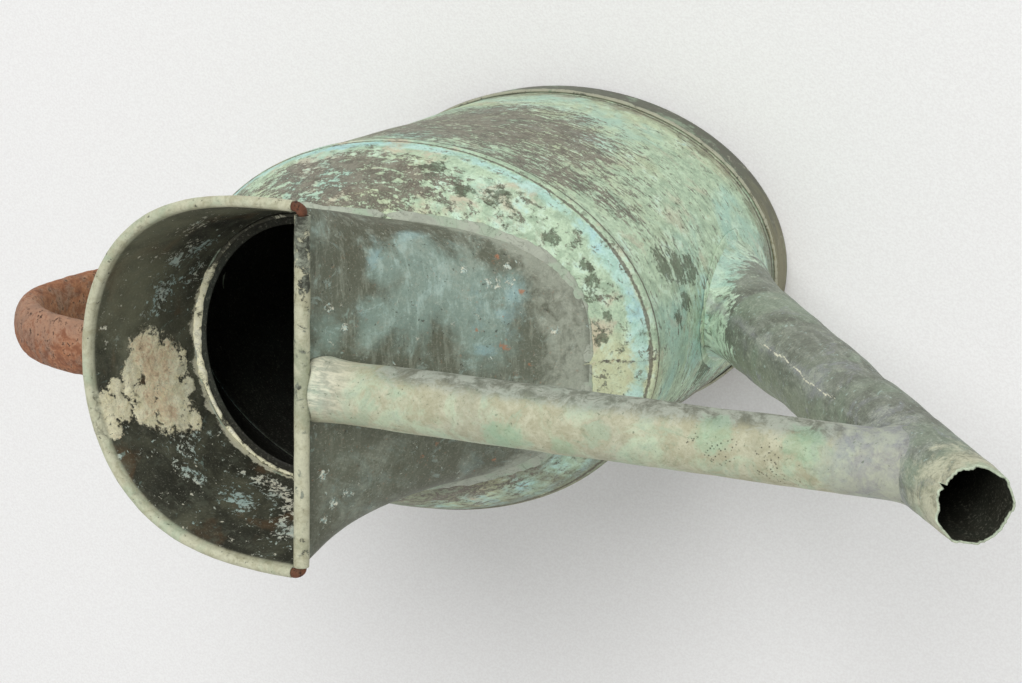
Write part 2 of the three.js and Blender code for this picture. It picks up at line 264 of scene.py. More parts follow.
def grid_normals(grid: Array, closed: bool) -> Array:
    """Unit normals of a grid: the difference along the row crossed with the one between rows."""
    if closed:
        along = np.roll(grid, -1, axis=1) - np.roll(grid, 1, axis=1)
    else:
        along = np.gradient(grid, axis=1)
    return unit(np.cross(along, np.gradient(grid, axis=0)))


def grid_faces(rows: int, columns: int, closed: bool) -> tuple[Array, Array]:
    """Quads of a grid whose points are numbered row by row.

    Returns:
        The quads, and the numbers of the points with the first column repeated when closed.
    """
    index = np.arange(rows * columns).reshape(rows, columns)
    if closed:
        index = np.concatenate([index, index[:, :1]], axis=1)
    corners = [index[:-1, :-1], index[:-1, 1:], index[1:, 1:], index[1:, :-1]]
    return np.stack(corners, axis=-1).reshape(-1, 4), index


def shell(front: Array, back: Array, closed: bool) -> Surface:
    """Sheet metal between two grids.

    The front's quads, the back's quads turned over, and a strip along every open edge. The value
    inside is painted 0 on the front and 1 on the back.
    """
    rows, columns = front.shape[:2]
    quads, index = grid_faces(rows, columns, closed)
    count = rows * columns
    edges = [np.stack([index[0, 1:], index[0, :-1]], 1), np.stack([index[-1, :-1], index[-1, 1:]], 1)]
    if not closed:
        edges.append(np.stack([index[:-1, 0], index[1:, 0]], 1))
        edges.append(np.stack([index[1:, -1], index[:-1, -1]], 1))
    strips = [np.stack([e[:, 0], e[:, 1], e[:, 1] + count, e[:, 0] + count], 1) for e in edges]
    points = np.concatenate([front.reshape(-1, 3), back.reshape(-1, 3)])
    inside = np.repeat([0.0, 1.0], count)
    quads = np.concatenate([quads, quads[:, ::-1] + count, *strips])
    return Surface(points, quads, paint={"inside": inside})


def capped_tube(grid: Array, recess: int = 0) -> Surface:
    """A grid of closed rows, with a fan of triangles over each end.

    The fan's hub is the middle of the row that lies recess rows in from the end.
    """
    rows, columns = grid.shape[:2]
    quads, index = grid_faces(rows, columns, True)
    hubs = grid[[recess, -1 - recess]].mean(axis=1)
    count = rows * columns
    low = np.stack([np.full(columns, count), index[0, 1:], index[0, :-1]], 1)
    high = np.stack([np.full(columns, count + 1), index[-1, :-1], index[-1, 1:]], 1)
    return Surface(np.concatenate([grid.reshape(-1, 3), hubs]), quads, np.concatenate([low, high]))


def tube_grid(path: Array, across: Array, half_width: Array, half_height: Array, sides: int) -> Array:
    """Oval sections along a path.

    A point is the centre plus across times the half width times the cosine, plus the path's
    direction crossed with across times the half height times the sine.
    """
    ahead = unit(np.gradient(path, axis=0))
    up = unit(np.cross(ahead, across))
    side = unit(np.cross(up, ahead))
    angle = round_angles(sides)
    wide = (half_width[:, None] * np.cos(angle))[..., None] * side[:, None]
    high = (half_height[:, None] * np.sin(angle))[..., None] * up[:, None]
    return path[:, None] + wide + high


# The can's common form


@dataclass(frozen=True)
class CanForm:
    """Sizes that several pieces share, in metres, and the surfaces that they follow."""

    sheet: float = 0.0008
    gap: float = 0.0003
    base: tuple[float, float] = (0.267, 0.194)
    widening: tuple[float, float] = (0.010, 0.006)
    shoulder_height: float = 0.222
    lap: float = 0.004
    bulge: float = 0.008
    neck: tuple[float, float] = (0.131, 0.143)
    neck_height: float = 0.289
    setback: float = 0.030
    ledge: float = 0.006
    bar_height: float = 0.366
    bar_forward: float = 0.010
    bar_length: float = 0.186
    bar_bead: float = 0.0039
    rim_depth: float = 0.129
    rim_squareness: float = 3.0
    rim_drop: float = 0.009
    wire: float = 0.0017
    breast_reach: float = 0.108
    breast_squareness: float = 2.8
    breast_hollow: float = 0.006
    clear: float = 0.0002

    def wall_axes(self, height: Array, grow: float = 0.0) -> tuple[Array, Array]:
        """Half length and half width of the wall's oval, which widen evenly with height."""
        share = height / self.shoulder_height
        return (
            (self.base[0] + self.widening[0] * share) / 2 + grow,
            (self.base[1] + self.widening[1] * share) / 2 + grow,
        )

    def wall(self, angle: Array, height: Array, grow: float = 0.0) -> Array:
        """Outside of the wall: the oval's half axes times the angle's cosine and sine."""
        length, width = self.wall_axes(height, grow)
        return np.stack(np.broadcast_arrays(length * np.cos(angle), width * np.sin(angle), height), -1)

    def outside_wall(self, points: Array, grow: float = 0.0) -> Array:
        """Positive outside the wall: the sum of the squared ratios to the half axes, less 1."""
        length, width = self.wall_axes(points[..., 2], grow)
        return (points[..., 0] / length) ** 2 + (points[..., 1] / width) ** 2 - 1.0

    def dome_axes(self, share: Array) -> tuple[Array, Array]:
        """Half axes of the dome's oval at a share: even from the shoulder to the neck."""
        length, width = self.wall_axes(np.array(self.shoulder_height), self.gap + self.sheet)
        return blend(length, self.neck[0] / 2, share), blend(width, self.neck[1] / 2, share)

    def dome(self, angle: Array, share: Array) -> Array:
        """Outside of the dome between its edge (share 0) and the neck (share 1).

        The oval's axes and centre change evenly with the share, and a parabola bulges the height.
        """
        a, b = self.dome_axes(share)
        x = a * np.cos(angle) - self.setback * share
        return np.stack(np.broadcast_arrays(x, b * np.sin(angle), self.dome_rise(share)), -1)

    def dome_rise(self, share: Array) -> Array:
        """Height of the dome at a share: even from shoulder to neck, plus the bulge's parabola."""
        even = blend(self.shoulder_height, self.neck_height, share)
        return even + 4 * self.bulge * share * (1 - share)

    def dome_share(self, x: Array, y: Array) -> Array:
        """Share of the dome's oval that passes through a point of the plan, by halving."""

        def outside(share: Array) -> Array:
            """Positive where the point lies outside the share's oval."""
            a, b = self.dome_axes(share)
            return ((x + self.setback * share) / a) ** 2 + (y / b) ** 2 - 1.0

        return halving(outside, np.zeros_like(x), np.ones_like(x))

    def dome_height(self, x: Array, y: Array) -> Array:
        """Height of the dome's outside over a point of the plan."""
        return self.dome_rise(self.dome_share(x, y))

    def dome_normal(self, x: Array, y: Array) -> Array:
        """Unit normal of the dome over a point of the plan, from height differences."""
        step = 5e-4
        slope_x = (self.dome_height(x + step, y) - self.dome_height(x - step, y)) / (2 * step)
        slope_y = (self.dome_height(x, y + step) - self.dome_height(x, y - step)) / (2 * step)
        return unit(np.stack([-slope_x, -slope_y, np.ones_like(x)], -1))

    @property
    def breast_half(self) -> float:
        """Half length of the rounded oval that the breast panel's seam is part of."""
        return self.breast_reach + self.setback

    @property
    def corner_angle(self) -> float:
        """Angle on that oval where the panel's seam meets the hood's."""
        share = (self.bar_forward + self.setback) / self.breast_half
        return math.acos(share ** (self.breast_squareness / 2))

    def breast_seam(self, side: Array) -> Array:
        """Seam of the breast panel on the dome, from the right corner (-1) to the left one (1).

        A squared oval: the cosine and the sine are each raised to 2 over the squareness.
        """
        angle = np.abs(side) * self.corner_angle
        power = 2.0 / self.breast_squareness
        x = self.breast_half * np.cos(angle) ** power - self.setback
        y = np.sign(side) * self.neck[1] / 2 * np.sin(angle) ** power
        return np.stack([x, y, self.dome_height(x, y)], -1)

    def hood_seam(self, share: Array) -> Array:
        """Seam of the hood on the dome, from the left corner (0) round the back to the right (1).

        Half the neck's oval, joined to the panel's corners by two short straight runs.
        """
        straight = 0.05
        left = self.breast_seam(np.array(1.0))
        bend = np.clip((share - straight) / (1 - 2 * straight), 0.0, 1.0)
        angle = np.pi * (0.5 + bend)
        run = np.clip(np.minimum(share, 1 - share) / straight, 0.0, 1.0)
        x = blend(left[0] - self.gap, self.neck[0] / 2 * np.cos(angle) - self.setback, run)
        y = blend(np.where(share < 0.5, left[1], -left[1]), self.neck[1] / 2 * np.sin(angle), run)
        return np.stack([x, y, self.dome_height(x, y)], -1)

    def rim(self, share: Array) -> Array:
        """Middle line of the rim's bead, from the left corner (0) round the back to the right (1).

        Half a squared oval in plan, and the height drops by the squared sine towards the back.
        """
        angle = np.pi * np.clip(share, 0.0, 1.0)
        back = np.sin(angle) ** (2.0 / self.rim_squareness)
        x = self.bar_forward - self.rim_depth * back
        y = self.bar_length / 2 * np.cos(angle)
        return np.stack([x, y, self.bar_height - self.rim_drop * np.sin(angle) ** 2], -1)

    def rim_share(self, distance: float) -> float:
        """Share at which the rim has gone back from the bar by a distance."""
        return math.asin((distance / self.rim_depth) ** (self.rim_squareness / 2)) / math.pi


@dataclass(frozen=True)
class Rolled:
    """A sheet that stands on a seam and is rolled outwards over the wire at its top.

    wall holds the share of the way up to the bead, turn the bead's angle. Below the bead a point
    lies between the seam and the bead's start, bent inwards by a parabola; on the bead it turns
    about the wire.
    """

    radius: float
    turn: float = 1.6 * math.pi

    def rows(self, wall_rows: int, bead_rows: int) -> tuple[Array, Array]:
        """Shares of the wall and angles of the bead, one for each row."""
        wall = np.concatenate([[-0.03], np.linspace(0.0, 1.0, wall_rows), np.ones(bead_rows)])
        steps = self.turn * np.arange(1, bead_rows + 1) / bead_rows
        turn = np.concatenate([np.zeros(wall_rows + 1), steps])
        return wall, turn

    def surface(self, seam: Array, wire: Array, tangent: Array, wall: Array, turn: Array,
                hollow: Array) -> Array:
        """Points of the sheet's face on the mouth's side.

        Args:
            seam: Foot of each point's column.
            wire: The wire's centre over it.
            tangent: The wire's direction.
            wall: Share of the way up.
            turn: Angle of the bead.
            hollow: How far the middle of the column bends inwards.

        Returns:
            The points, in the shape of seam.
        """
        up = unit(wire - seam)
        out = unit(np.cross(tangent, up))
        rise = unit(np.cross(out, tangent))
        top = wire - out * self.radius
        low = blend(seam, top, wall[..., None]) - out * (4 * hollow * wall * (1 - wall))[..., None]
        curl = wire - out * (self.radius * np.cos(turn))[..., None]
        curl = curl + rise * (self.radius * np.sin(turn))[..., None]
        return np.where((turn > 0)[..., None], curl, low)


# Materials


def linear(red: int, green: int, blue: int) -> Colour:
    """Turns a colour in 0 to 255 as it is seen on a screen into the shader's linear values."""
    parts = [c / 255.0 for c in (red, green, blue)]
    return tuple(c / 12.92 if c <= 0.04045 else ((c + 0.055) / 1.055) ** 2.4 for c in parts)


class Patina(Enum):
    """Colours of the copper and what grows on it, and one painted shade for the insides, from 0 to 255
    as they are seen on a screen.
    """

    GREEN = 190, 212, 182
    GREEN_DEEP = 158, 180, 154
    MINT = 214, 236, 212
    STRAW = 206, 204, 162
    BLUE_GREEN = 166, 208, 196
    TURQUOISE = 182, 222, 216
    SKY = 160, 202, 212
    OCHRE = 180, 140, 96
    BLUSH = 200, 184, 162
    BARE = 98, 91, 81
    BARE_LIGHT = 126, 119, 106
    MOSS = 96, 110, 88
    OLIVE_BROWN = 122, 120, 94
    PIT = 52, 54, 44
    CREAM = 194, 194, 168
    SAND = 168, 166, 138
    SAND_DEEP = 150, 148, 118
    BONE = 232, 230, 208
    CRUST = 252, 247, 212
    CRUST_DEEP = 236, 226, 184
    PEACH = 224, 176, 126
    PANEL = 100, 105, 90
    PANEL_DEEP = 84, 86, 70
    PANEL_LIGHT = 140, 146, 130
    HAZE = 150, 178, 168
    HAZE_LIGHT = 178, 202, 194
    SOLDER = 172, 178, 162
    SOLDER_DEEP = 156, 161, 147
    LAVENDER = 140, 142, 148
    OLIVE = 132, 142, 116
    LEAD = 122, 128, 116
    LEAD_DEEP = 96, 100, 88
    LEAD_LIGHT = 158, 164, 152
    # Painted shade: near black for the insides of the wall, the dome and the spout, and for the ledge
    # round the neck.
    INSIDE_SHADE = 30, 30, 24
    HOOD = 72, 73, 60
    HOOD_DEEP = 46, 47, 38
    HOOD_WARM = 92, 72, 50
    HOOD_OLIVE = 126, 127, 104
    BRASSY = 138, 132, 100
    FOOT = 104, 104, 92
    FOOT_LIGHT = 150, 152, 136
    LEAF = 132, 172, 138


class Iron(Enum):
    """Colours of the rusted iron, given in the same way."""

    RED = 136, 90, 66
    ORANGE = 168, 116, 84
    PALE = 176, 146, 124
    DEEP = 104, 64, 46
    BLACK = 58, 40, 30


class Cloth(Enum):
    """Colours of the floor, given in the same way."""

    SHADE = 233, 232, 231
    LIGHT = 240, 240, 239


Tint = Patina | Iron | Cloth


class Graph:
    """The nodes of one material, joined by short calls."""

    def __init__(self, name: str) -> None:
        """Starts an empty material with its shader.

        Args:
            name: Name of the material.
        """
        self.material = bpy.data.materials.new(name)
        self.material.use_nodes = True
        self.tree = self.material.node_tree
        self.tree.nodes.clear()
        self.shader = self.tree.nodes.new("ShaderNodeBsdfPrincipled")
        output = self.tree.nodes.new("ShaderNodeOutputMaterial")
        self.tree.links.new(self.shader.outputs["BSDF"], output.inputs["Surface"])
        self.place = self.tree.nodes.new("ShaderNodeTexCoord").outputs["Object"]

    def put(self, socket: Socket, value: Socket | float | Colour | Tint) -> None:
        """Links a socket to an input, or sets the input's constant."""
        if isinstance(value, bpy.types.NodeSocket):
            self.tree.links.new(value, socket)
        elif isinstance(value, Enum):
            socket.default_value = (*linear(*value.value), 1.0)
        else:
            socket.default_value = value

    def paint(self, name: str) -> Socket:
        """Value painted on the points under that name."""
        node = self.tree.nodes.new("ShaderNodeAttribute")
        node.attribute_name = name
        return node.outputs["Fac"]

    def stretched(self, scale: Sequence[float], turn: Sequence[float] = (0, 0, 0)) -> Socket:
        """Object coordinates, turned and then scaled along each axis."""
        node = self.tree.nodes.new("ShaderNodeMapping")
        node.vector_type = "TEXTURE"
        node.inputs["Rotation"].default_value = turn
        node.inputs["Scale"].default_value = [1.0 / s for s in scale]
        self.put(node.inputs["Vector"], self.place)
        return node.outputs["Vector"]

    def noise(self, scale: float, detail: float = 5.0, rough: float = 0.6, warp: float = 0.0,
              at: Socket | None = None) -> Socket:
        """Fractal noise of about 0.2 to 0.8 at a place."""
        node = self.tree.nodes.new("ShaderNodeTexNoise")
        self.put(node.inputs["Vector"], at or self.place)
        values = {"Scale": scale, "Detail": detail, "Roughness": rough, "Distortion": warp}
        for key, value in values.items():
            node.inputs[key].default_value = value
        return node.outputs["Fac"]

    def cells(self, scale: float, at: Socket | None = None) -> Socket:
        """Distance to the nearest point of a random scatter."""
        node = self.tree.nodes.new("ShaderNodeTexVoronoi")
        self.put(node.inputs["Vector"], at or self.place)
        node.inputs["Scale"].default_value = scale
        return node.outputs["Distance"]

    def math(self, kind: str, a: Socket | float, b: Socket | float = 0.0,
             c: Socket | float = 0.0) -> Socket:
        """One step of arithmetic."""
        node = self.tree.nodes.new("ShaderNodeMath")
        node.operation = kind
        for socket, value in zip(node.inputs, (a, b, c)):
            self.put(socket, value)
        return node.outputs[0]

    def add(self, a: Socket | float, b: Socket | float) -> Socket:
        """Returns a + b."""
        return self.math("ADD", a, b)

    def times(self, a: Socket | float, b: Socket | float) -> Socket:
        """Returns a times b."""
        return self.math("MULTIPLY", a, b)

    def sum(self, *terms: tuple[Socket, float]) -> Socket:
        """Sum of values, each times its weight."""
        total = self.times(*terms[0])
        for value, weight in terms[1:]:
            total = self.math("MULTIPLY_ADD", value, weight, total)
        return total

    def line(self, value: Socket, slope: float, start: float) -> Socket:
        """Returns the start plus the slope times the value."""
        return self.math("MULTIPLY_ADD", value, slope, start)

    def ramp(self, value: Socket, low: float, high: float) -> Socket:
        """Returns 0 at low and 1 at high, with a smooth step between; low may be the larger one."""
        node = self.tree.nodes.new("ShaderNodeMapRange")
        node.interpolation_type = "SMOOTHSTEP"
        self.put(node.inputs["Value"], value)
        node.inputs["From Min"].default_value = min(low, high)
        node.inputs["From Max"].default_value = max(low, high)
        node.inputs["To Min"].default_value = float(low > high)
        node.inputs["To Max"].default_value = float(low < high)
        return node.outputs["Result"]

    def spread(self, mask: str | float, noise: Socket, reach: float, edge: float) -> Socket:
        """Covers a region in broken patches.

        The noise plus reach times the mask, less half the reach, is cut off at 0.5. So a mask of 1
        leaves few holes, 0.5 covers half the place, and 0 leaves it almost free. A small reach
        lets the noise decide more.

        Args:
            mask: Name of the painted value that gives the region, or one value for everywhere.
            noise: What breaks the region up.
            reach: How far the mask moves the noise.
            edge: Half the width of the soft edge.

        Returns:
            The share that is covered.
        """
        share = self.paint(mask) if isinstance(mask, str) else mask
        raised = self.math("MULTIPLY_ADD", share, reach, noise)
        return self.ramp(raised, 0.5 + reach / 2 - edge, 0.5 + reach / 2 + edge)

    def veins(self, noise: Socket, width: float) -> Socket:
        """Returns 1 on the lines where the noise is 0.5, and 0 further away than the width."""
        return self.ramp(self.math("ABSOLUTE", self.add(noise, -0.5)), width, 0.0)

    def mix(self, share: Socket | float, a: Socket | Tint, b: Socket | Tint) -> Socket:
        """Colour a turned into b by a share."""
        node = self.tree.nodes.new("ShaderNodeMix")
        node.data_type = "RGBA"
        self.put(node.inputs[0], share)
        self.put(node.inputs[6], a)
        self.put(node.inputs[7], b)
        return node.outputs[2]

    def layers(self, colour: Socket | Tint, *coats: tuple) -> Socket:
        """Lays coats over a colour.

        Args:
            colour: The ground.
            coats: Each one's mask, strength and colour. Two numbers after the mask cut it by a
                ramp between them.

        Returns:
            The colour under its coats.
        """
        for mask, *cut, strength, coat in coats:
            share = self.ramp(mask, *cut) if cut else mask
            colour = self.mix(self.times(share, strength), colour, coat)
        return colour

    def speckled(self, colour: Socket, strength: float = 1.0) -> Socket:
        """Lays a fine grain of dark and pale specks over a colour."""
        grain = self.noise(760.0, 4.0, 0.75)
        return self.layers(colour, (grain, 0.52, 0.68, 0.34 * strength, Patina.PIT),
                           (grain, 0.47, 0.32, 0.20 * strength, Patina.BONE))

    def finish(self, colour: Socket, rough: Socket | float, height: Socket, depth: float,
               metal: Socket | float = 0.0) -> Material:
        """Joins the looks to the shader.

        Args:
            colour: Base colour.
            rough: Roughness.
            height: Height of the relief, from 0 to about 1.
            depth: What a height of 1 measures, in metres.
            metal: Metallic share.

        Returns:
            The finished material.
        """
        bump = self.tree.nodes.new("ShaderNodeBump")
        bump.inputs["Strength"].default_value = 1.0
        bump.inputs["Distance"].default_value = depth
        self.put(bump.inputs["Height"], height)
        self.put(self.shader.inputs["Normal"], bump.outputs["Normal"])
        self.put(self.shader.inputs["Base Color"], colour)
        self.put(self.shader.inputs["Roughness"], rough)
        self.put(self.shader.inputs["Metallic"], metal)
        self.shader.inputs["Specular IOR Level"].default_value = 0.35
        return self.material


@dataclass(frozen=True)
class Verdigris:
    """Pale green crust on the wall and the dome, worn through to brown copper in places.

    Painted values: worn, band (turquoise), dark, seam, brown, inside. grain is the scale of the
    worn flecks along each axis, pastel the strength of the yellow and pink tints.
    """

    name: str
    grain: tuple[float, float, float]
    pastel: float

    def build(self) -> Material:
        """Mottled greens under pastel clouds, broken by worn flecks that follow the grain."""
        g = Graph(self.name)
        fine = g.noise(520, 5, 0.7)
        mid = g.noise(120, 9, 0.7, 0.4)
        broad = g.noise(24, 8, 0.66, 0.7)
        cloud = g.noise(11, 6, 0.6, 0.5)
        grain = g.noise(1, 10, 0.74, 0.3, g.stretched(self.grain))
        colour = g.layers(
            g.mix(g.ramp(mid, 0.36, 0.6), Patina.GREEN_DEEP, Patina.GREEN),
            (cloud, 0.46, 0.62, 0.65 * self.pastel, Patina.STRAW),
            (g.noise(15, 7, 0.62, 0.6), 0.5, 0.66, 0.6, Patina.BLUE_GREEN),
            (g.noise(38, 7, 0.66, 0.6), 0.53, 0.65, 0.7 * self.pastel, Patina.BLUSH),
            (g.sum((mid, 0.5), (broad, 0.5)), 0.5, 0.6, 0.75 - 0.2 * self.pastel, Patina.MINT),
            (g.noise(62, 7, 0.66, 0.4), 0.63, 0.7, 0.5 * self.pastel, Patina.OCHRE),
            (g.sum((fine, 0.6), (grain, 0.4)), 0.56, 0.66, 0.22, Patina.MOSS),
            (fine, 0.42, 0.34, 0.4, Patina.MINT),
        )
        band = g.spread("band", g.sum((broad, 0.5), (mid, 0.5)), 0.24, 0.08)
        blue = g.mix(g.ramp(mid, 0.42, 0.6), Patina.BLUE_GREEN, Patina.TURQUOISE)
        colour = g.layers(colour, (band, 0.7, blue),
                          (g.times(band, g.ramp(g.noise(46, 6, 0.6), 0.52, 0.62)), 0.5, Patina.SKY))
        flecks = g.sum((grain, 0.55), (g.noise(60, 8, 0.7, 0.6), 0.2), (fine, 0.25))
        worn = g.spread("worn", flecks, 0.12, 0.012)
        bare = g.layers(g.mix(g.ramp(mid, 0.4, 0.6), Patina.BARE, Patina.BARE_LIGHT),
                        (grain, 0.44, 0.36, 0.6, Patina.GREEN_DEEP),
                        (g.sum((fine, 0.5), (grain, 0.5)), 0.55, 0.62, 0.6, Patina.GREEN))
        # Brown: brownish tarnish, and on the -Y flank partly painted shade.
        brown = g.spread("brown", g.sum((broad, 0.5), (grain, 0.5)), 0.2, 0.08)
        rag = g.noise(210, 9, 0.76, 0.6)
        dark = g.spread("dark", g.sum((rag, 0.7), (grain, 0.3)), 0.2, 0.025)
        sparse = g.ramp(g.sum((grain, 0.6), (fine, 0.4)), 0.595, 0.625)
        sparse = g.times(sparse, g.ramp(broad, 0.42, 0.58))
        seam = g.spread("seam", g.sum((fine, 0.4), (mid, 0.6)), 0.3, 0.05)
        colour = g.layers(
            colour,
            (brown, 0.75, g.mix(mid, Patina.OLIVE_BROWN, Patina.BARE_LIGHT)),
            (worn, 0.92, bare),
            (dark, 0.8, g.mix(g.ramp(fine, 0.4, 0.6), Patina.MOSS, Patina.PANEL_DEEP)),
            (sparse, 0.75, Patina.MOSS),
            (seam, 0.85, g.mix(mid, Patina.PIT, Patina.BARE_LIGHT)),
            # Painted shade: the back faces inside the can and the ledge round the neck turned near
            # black.
            (g.paint("inside"), 0.97, Patina.INSIDE_SHADE),
        )
        height = g.sum((fine, 0.5), (mid, 0.8), (worn, -0.35), (dark, -0.3), (sparse, -0.3))
        rough = g.line(worn, -0.2, 0.85)
        return g.finish(g.speckled(colour, 0.75), rough, height, 0.0004, g.times(worn, 0.1))


@dataclass(frozen=True)
class PanelTarnish:
    """Dark tarnish of the breast panel with a blue haze, partly a painted sheen, and the pale bead of
    the bar.

    Painted values: haze, shade, dots, rust, solder, bead, chipped, inside.
    """

    name: str = "panel_tarnish"

    def build(self) -> Material:
        """Grey-green with fine wipe marks across the can, and the bar's cream coat over it."""
        g = Graph(self.name)
        fine = g.noise(520, 5, 0.7)
        mid = g.noise(110, 9, 0.7, 0.4)
        wipe = g.noise(1, 7, 0.66, 0.3, g.stretched((300, 46, 300)))
        cloud = g.noise(24, 8, 0.66, 0.8)
        broad = g.noise(9, 6, 0.6, 0.4)
        # The haze: bluish bloom on the +Y side, partly a painted sheen.
        haze_grain = g.sum((cloud, 0.5), (g.noise(60, 9, 0.72, 1), 0.5))
        haze = g.spread("haze", haze_grain, 0.26, 0.13)
        wisp = g.times(haze, g.ramp(g.sum((haze_grain, 0.7), (wipe, 0.3)), 0.52, 0.62))
        colour = g.layers(
            g.mix(g.ramp(broad, 0.36, 0.62), Patina.PANEL_DEEP, Patina.PANEL),
            (cloud, 0.48, 0.64, 0.5, Patina.PANEL_LIGHT),
            (wipe, 0.5, 0.64, 0.5, Patina.PANEL_LIGHT),
            (mid, 0.46, 0.36, 0.5, Patina.PANEL_DEEP),
            (haze, 0.48, Patina.HAZE),
            (g.times(haze, g.ramp(g.noise(30, 6, 0.6, 0.5), 0.55, 0.66)), 0.3, Patina.SKY),
            (wisp, 0.5, Patina.HAZE_LIGHT),
            (g.times(g.ramp(g.noise(70, 10, 0.76, 1.2), 0.56, 0.64), g.ramp(broad, 0.4, 0.55)), 0.35,
             Patina.HAZE_LIGHT),
            (g.times(g.ramp(mid, 0.6, 0.7), g.ramp(broad, 0.44, 0.6)), 0.5, Patina.HAZE),
            (g.noise(330, 3, 0.5), 0.70, 0.76, 0.4, Patina.HAZE_LIGHT),
            (g.noise(400, 3, 0.5), 0.66, 0.72, 0.7, Patina.PIT),
        )
        metal = g.layers(g.mix(g.ramp(mid, 0.34, 0.54), Patina.SOLDER_DEEP, Patina.SOLDER),
                         (cloud, 0.46, 0.6, 0.5, Patina.PANEL_LIGHT))
        solder = g.spread("solder", g.sum((cloud, 0.5), (mid, 0.5)), 0.24, 0.10)
        dots = g.spread("dots", g.noise(300, 8, 0.75, 0.6), 0.3, 0.04)
        rust = g.spread("rust", g.noise(420, 5, 0.7), 0.4, 0.10)
        coat = g.layers(g.mix(g.ramp(mid, 0.36, 0.6), Patina.SAND, Patina.CREAM),
                        (cloud, 0.48, 0.64, 0.6, Patina.OLIVE),
                        (fine, 0.58, 0.68, 0.5, Patina.SAND_DEEP))
        chips = g.sum((g.noise(170, 8, 0.7, 0.5), 0.7), (cloud, 0.3))
        chipped = g.spread("chipped", chips, 0.24, 0.02)
        coat = g.mix(chipped, coat, g.mix(g.ramp(mid, 0.4, 0.6), Patina.PIT, Patina.PANEL_LIGHT))
        shade = g.times(g.paint("shade"), g.ramp(g.sum((cloud, 0.5), (wipe, 0.5)), 0.36, 0.6))
        colour = g.layers(
            colour,
            (shade, 0.6, Patina.PANEL_DEEP),
            (solder, 0.7, metal),
            (dots, 0.85, g.mix(g.ramp(fine, 0.4, 0.6), Patina.HAZE_LIGHT, Patina.BONE)),
            (rust, 0.8, Iron.ORANGE),
            (g.paint("inside"), 0.95, Patina.HOOD_DEEP),
            (g.paint("bead"), 1.0, coat),
        )
        chip = g.times(chipped, g.paint("bead"))
        height = g.sum((fine, 0.25), (mid, 0.4), (wipe, 0.4), (dots, 0.5), (chip, -0.5))
        return g.finish(g.speckled(colour, 0.6), g.line(mid, 0.4, 0.36), height, 0.0003, 0.12)


